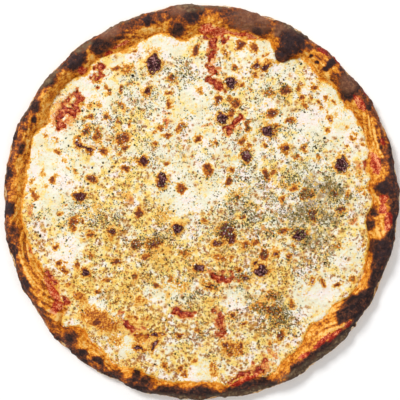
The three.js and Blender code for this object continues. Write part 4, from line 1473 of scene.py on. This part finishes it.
def freckled(melt, base, small, mid):
    """Toasted freckles, broken ones and round ones: olive orange in oil, pinkish brown where the
    cheese is dry, none where it is plain."""
    oily = melt.mark("oily")
    tan = melt.blend(oily, (222, 162, 100), (222, 162, 40))
    brown = melt.blend(oily, (150, 80, 40), (146, 80, 0))
    luck = melt.sum(melt.spread(melt.mark("freckle"), 0.25, 1.0, -0.1, 0.22),
                    melt.times(melt.mark("plain"), -0.3))
    speck = melt.sum(melt.spread(melt.grain(2.6, 4, 0.65)), luck)
    speck = melt.stir(speck, melt.grain(16, 2), 0.2)
    base = melt.over(base, speck, 0.66, 0.88, tan, 0.6)
    base = melt.over(base, speck, 0.8, 1.0, brown, 0.9)
    baked = melt.ramp(mid, (0.2, 148, 80, 0), (0.5, 184, 102, 12), (0.8, 162, 72, 24))
    for size, reach, seldom in FRECKLES:
        spot = melt.stir(melt.cells(size), small, 0.12)
        chosen = melt.step(melt.sum(melt.cells(size, "Color"), luck), seldom, seldom + 0.06)
        around = melt.times(chosen, melt.step(spot, reach - 0.08, reach + 0.14, 1.0, 0.0))
        middle = melt.times(chosen, melt.step(spot, reach - 0.22, reach, 1.0, 0.0))
        base = melt.blend(melt.times(around, 0.6), base, (236, 180, 80))
        base = melt.blend(melt.times(middle, 0.88), base, baked)
    return base


def herb_finish(name, tints):
    """Bits that each have their own tint, between three colours where they lie dry and three
    where they lie in oil."""
    herb = Finish(name)
    tint = herb.sum(herb.mark("tint"), herb.step(herb.grain(0.4, 3), 0.3, 0.7, -0.15, 0.15))
    dry, soaked = [herb.ramp(tint, (0.1, *dark), (0.5, *middle), (0.95, *light))
                   for dark, middle, light in tints]
    herb.set(Base_Color=herb.blend(herb.mark("oily"), dry, soaked), Specular_IOR_Level=0.1,
             Roughness=herb.step(herb.grain(0.3), 0.3, 0.7, 0.55, 0.9))
    herb.relief(herb.grain(0.25, 2), 0.1, 0.6)
    return herb.material


def floor_finish():
    """A plain pale floor with the faintest mottling."""
    pale = Finish("pale_floor")
    pale.set(Base_Color=pale.ramp(pale.grain(60, 4), (0.3, 252, 252, 252), (0.7, 255, 255, 255)),
             Roughness=pale.step(pale.grain(4), 0.3, 0.7, 0.7, 0.85))
    pale.relief(pale.grain(1.5), 0.05, 0.3)
    return pale.material


# ---------------------------------------------------------------------------
# Floor, light and camera
# ---------------------------------------------------------------------------

LENS = 85
SENSOR = 36
PICTURE_WIDTH = 400
PIZZA_WIDTH_IN_PICTURE = 396
PIZZA_MIDDLE_IN_PICTURE = (200.8, 202.4)
FLOOR_SIDE = 6
SKY_STRENGTH = 0.5


def build_floor():
    bpy.ops.object.select_all(action="DESELECT")
    bpy.ops.mesh.primitive_plane_add(size=FLOOR_SIDE)
    floor = name_new("floor")
    floor.data.materials.append(floor_finish())


def add_softbox(name, place, size, power):
    """A square light that faces the middle of the pizza."""
    light = bpy.data.lights.new(name, "AREA")
    light.energy, light.size = power, size
    lamp = bpy.data.objects.new(name, light)
    lamp.location = place
    bpy.context.collection.objects.link(lamp)
    steep = math.atan2(math.hypot(place[0], place[1]), place[2])
    lamp.rotation_euler = (0, steep, math.atan2(place[1], place[0]))


def build_light():
    world = bpy.data.worlds.new("studio")
    world.use_nodes = True
    sky = world.node_tree.nodes["Background"].inputs
    sky["Color"].default_value = (1, 1, 1, 1)
    sky["Strength"].default_value = SKY_STRENGTH
    bpy.context.scene.world = world
    add_softbox("key", (-1.1, 1.2, 1.9), 0.6, 40)
    add_softbox("fill", (1.3, -0.6, 1.9), 1.4, 9)
    bpy.context.scene.view_settings.view_transform = "Standard"


def build_camera():
    """Looks straight down, with the pizza as large and as far off centre as in the picture."""
    size = 2 * PIZZA_RADIUS * MM / PIZZA_WIDTH_IN_PICTURE
    height = size * PICTURE_WIDTH * LENS / SENSOR
    middle = PICTURE_WIDTH / 2
    data = bpy.data.cameras.new("camera")
    data.lens, data.sensor_width = LENS, SENSOR
    camera = bpy.data.objects.new("camera", data)
    camera.location = ((middle - PIZZA_MIDDLE_IN_PICTURE[0]) * size,
                       (PIZZA_MIDDLE_IN_PICTURE[1] - middle) * size,
                       height + WIDEST_HEIGHT * MM)
    bpy.context.collection.objects.link(camera)
    bpy.context.scene.camera = camera


build_crust(crust_finish())
build_sauce(sauce_finish())
build_cheese(cheese_finish())
build_leaves(herb_finish("crumbled_leaf", LEAF_TINTS))
build_stalks(herb_finish("dry_stalk", STALK_TINTS))
build_crumbs(herb_finish("dark_crumb", CRUMB_TINTS))
build_granules(herb_finish("cheese_granule", GRANULE_TINTS))
build_floor()
build_light()
build_camera()
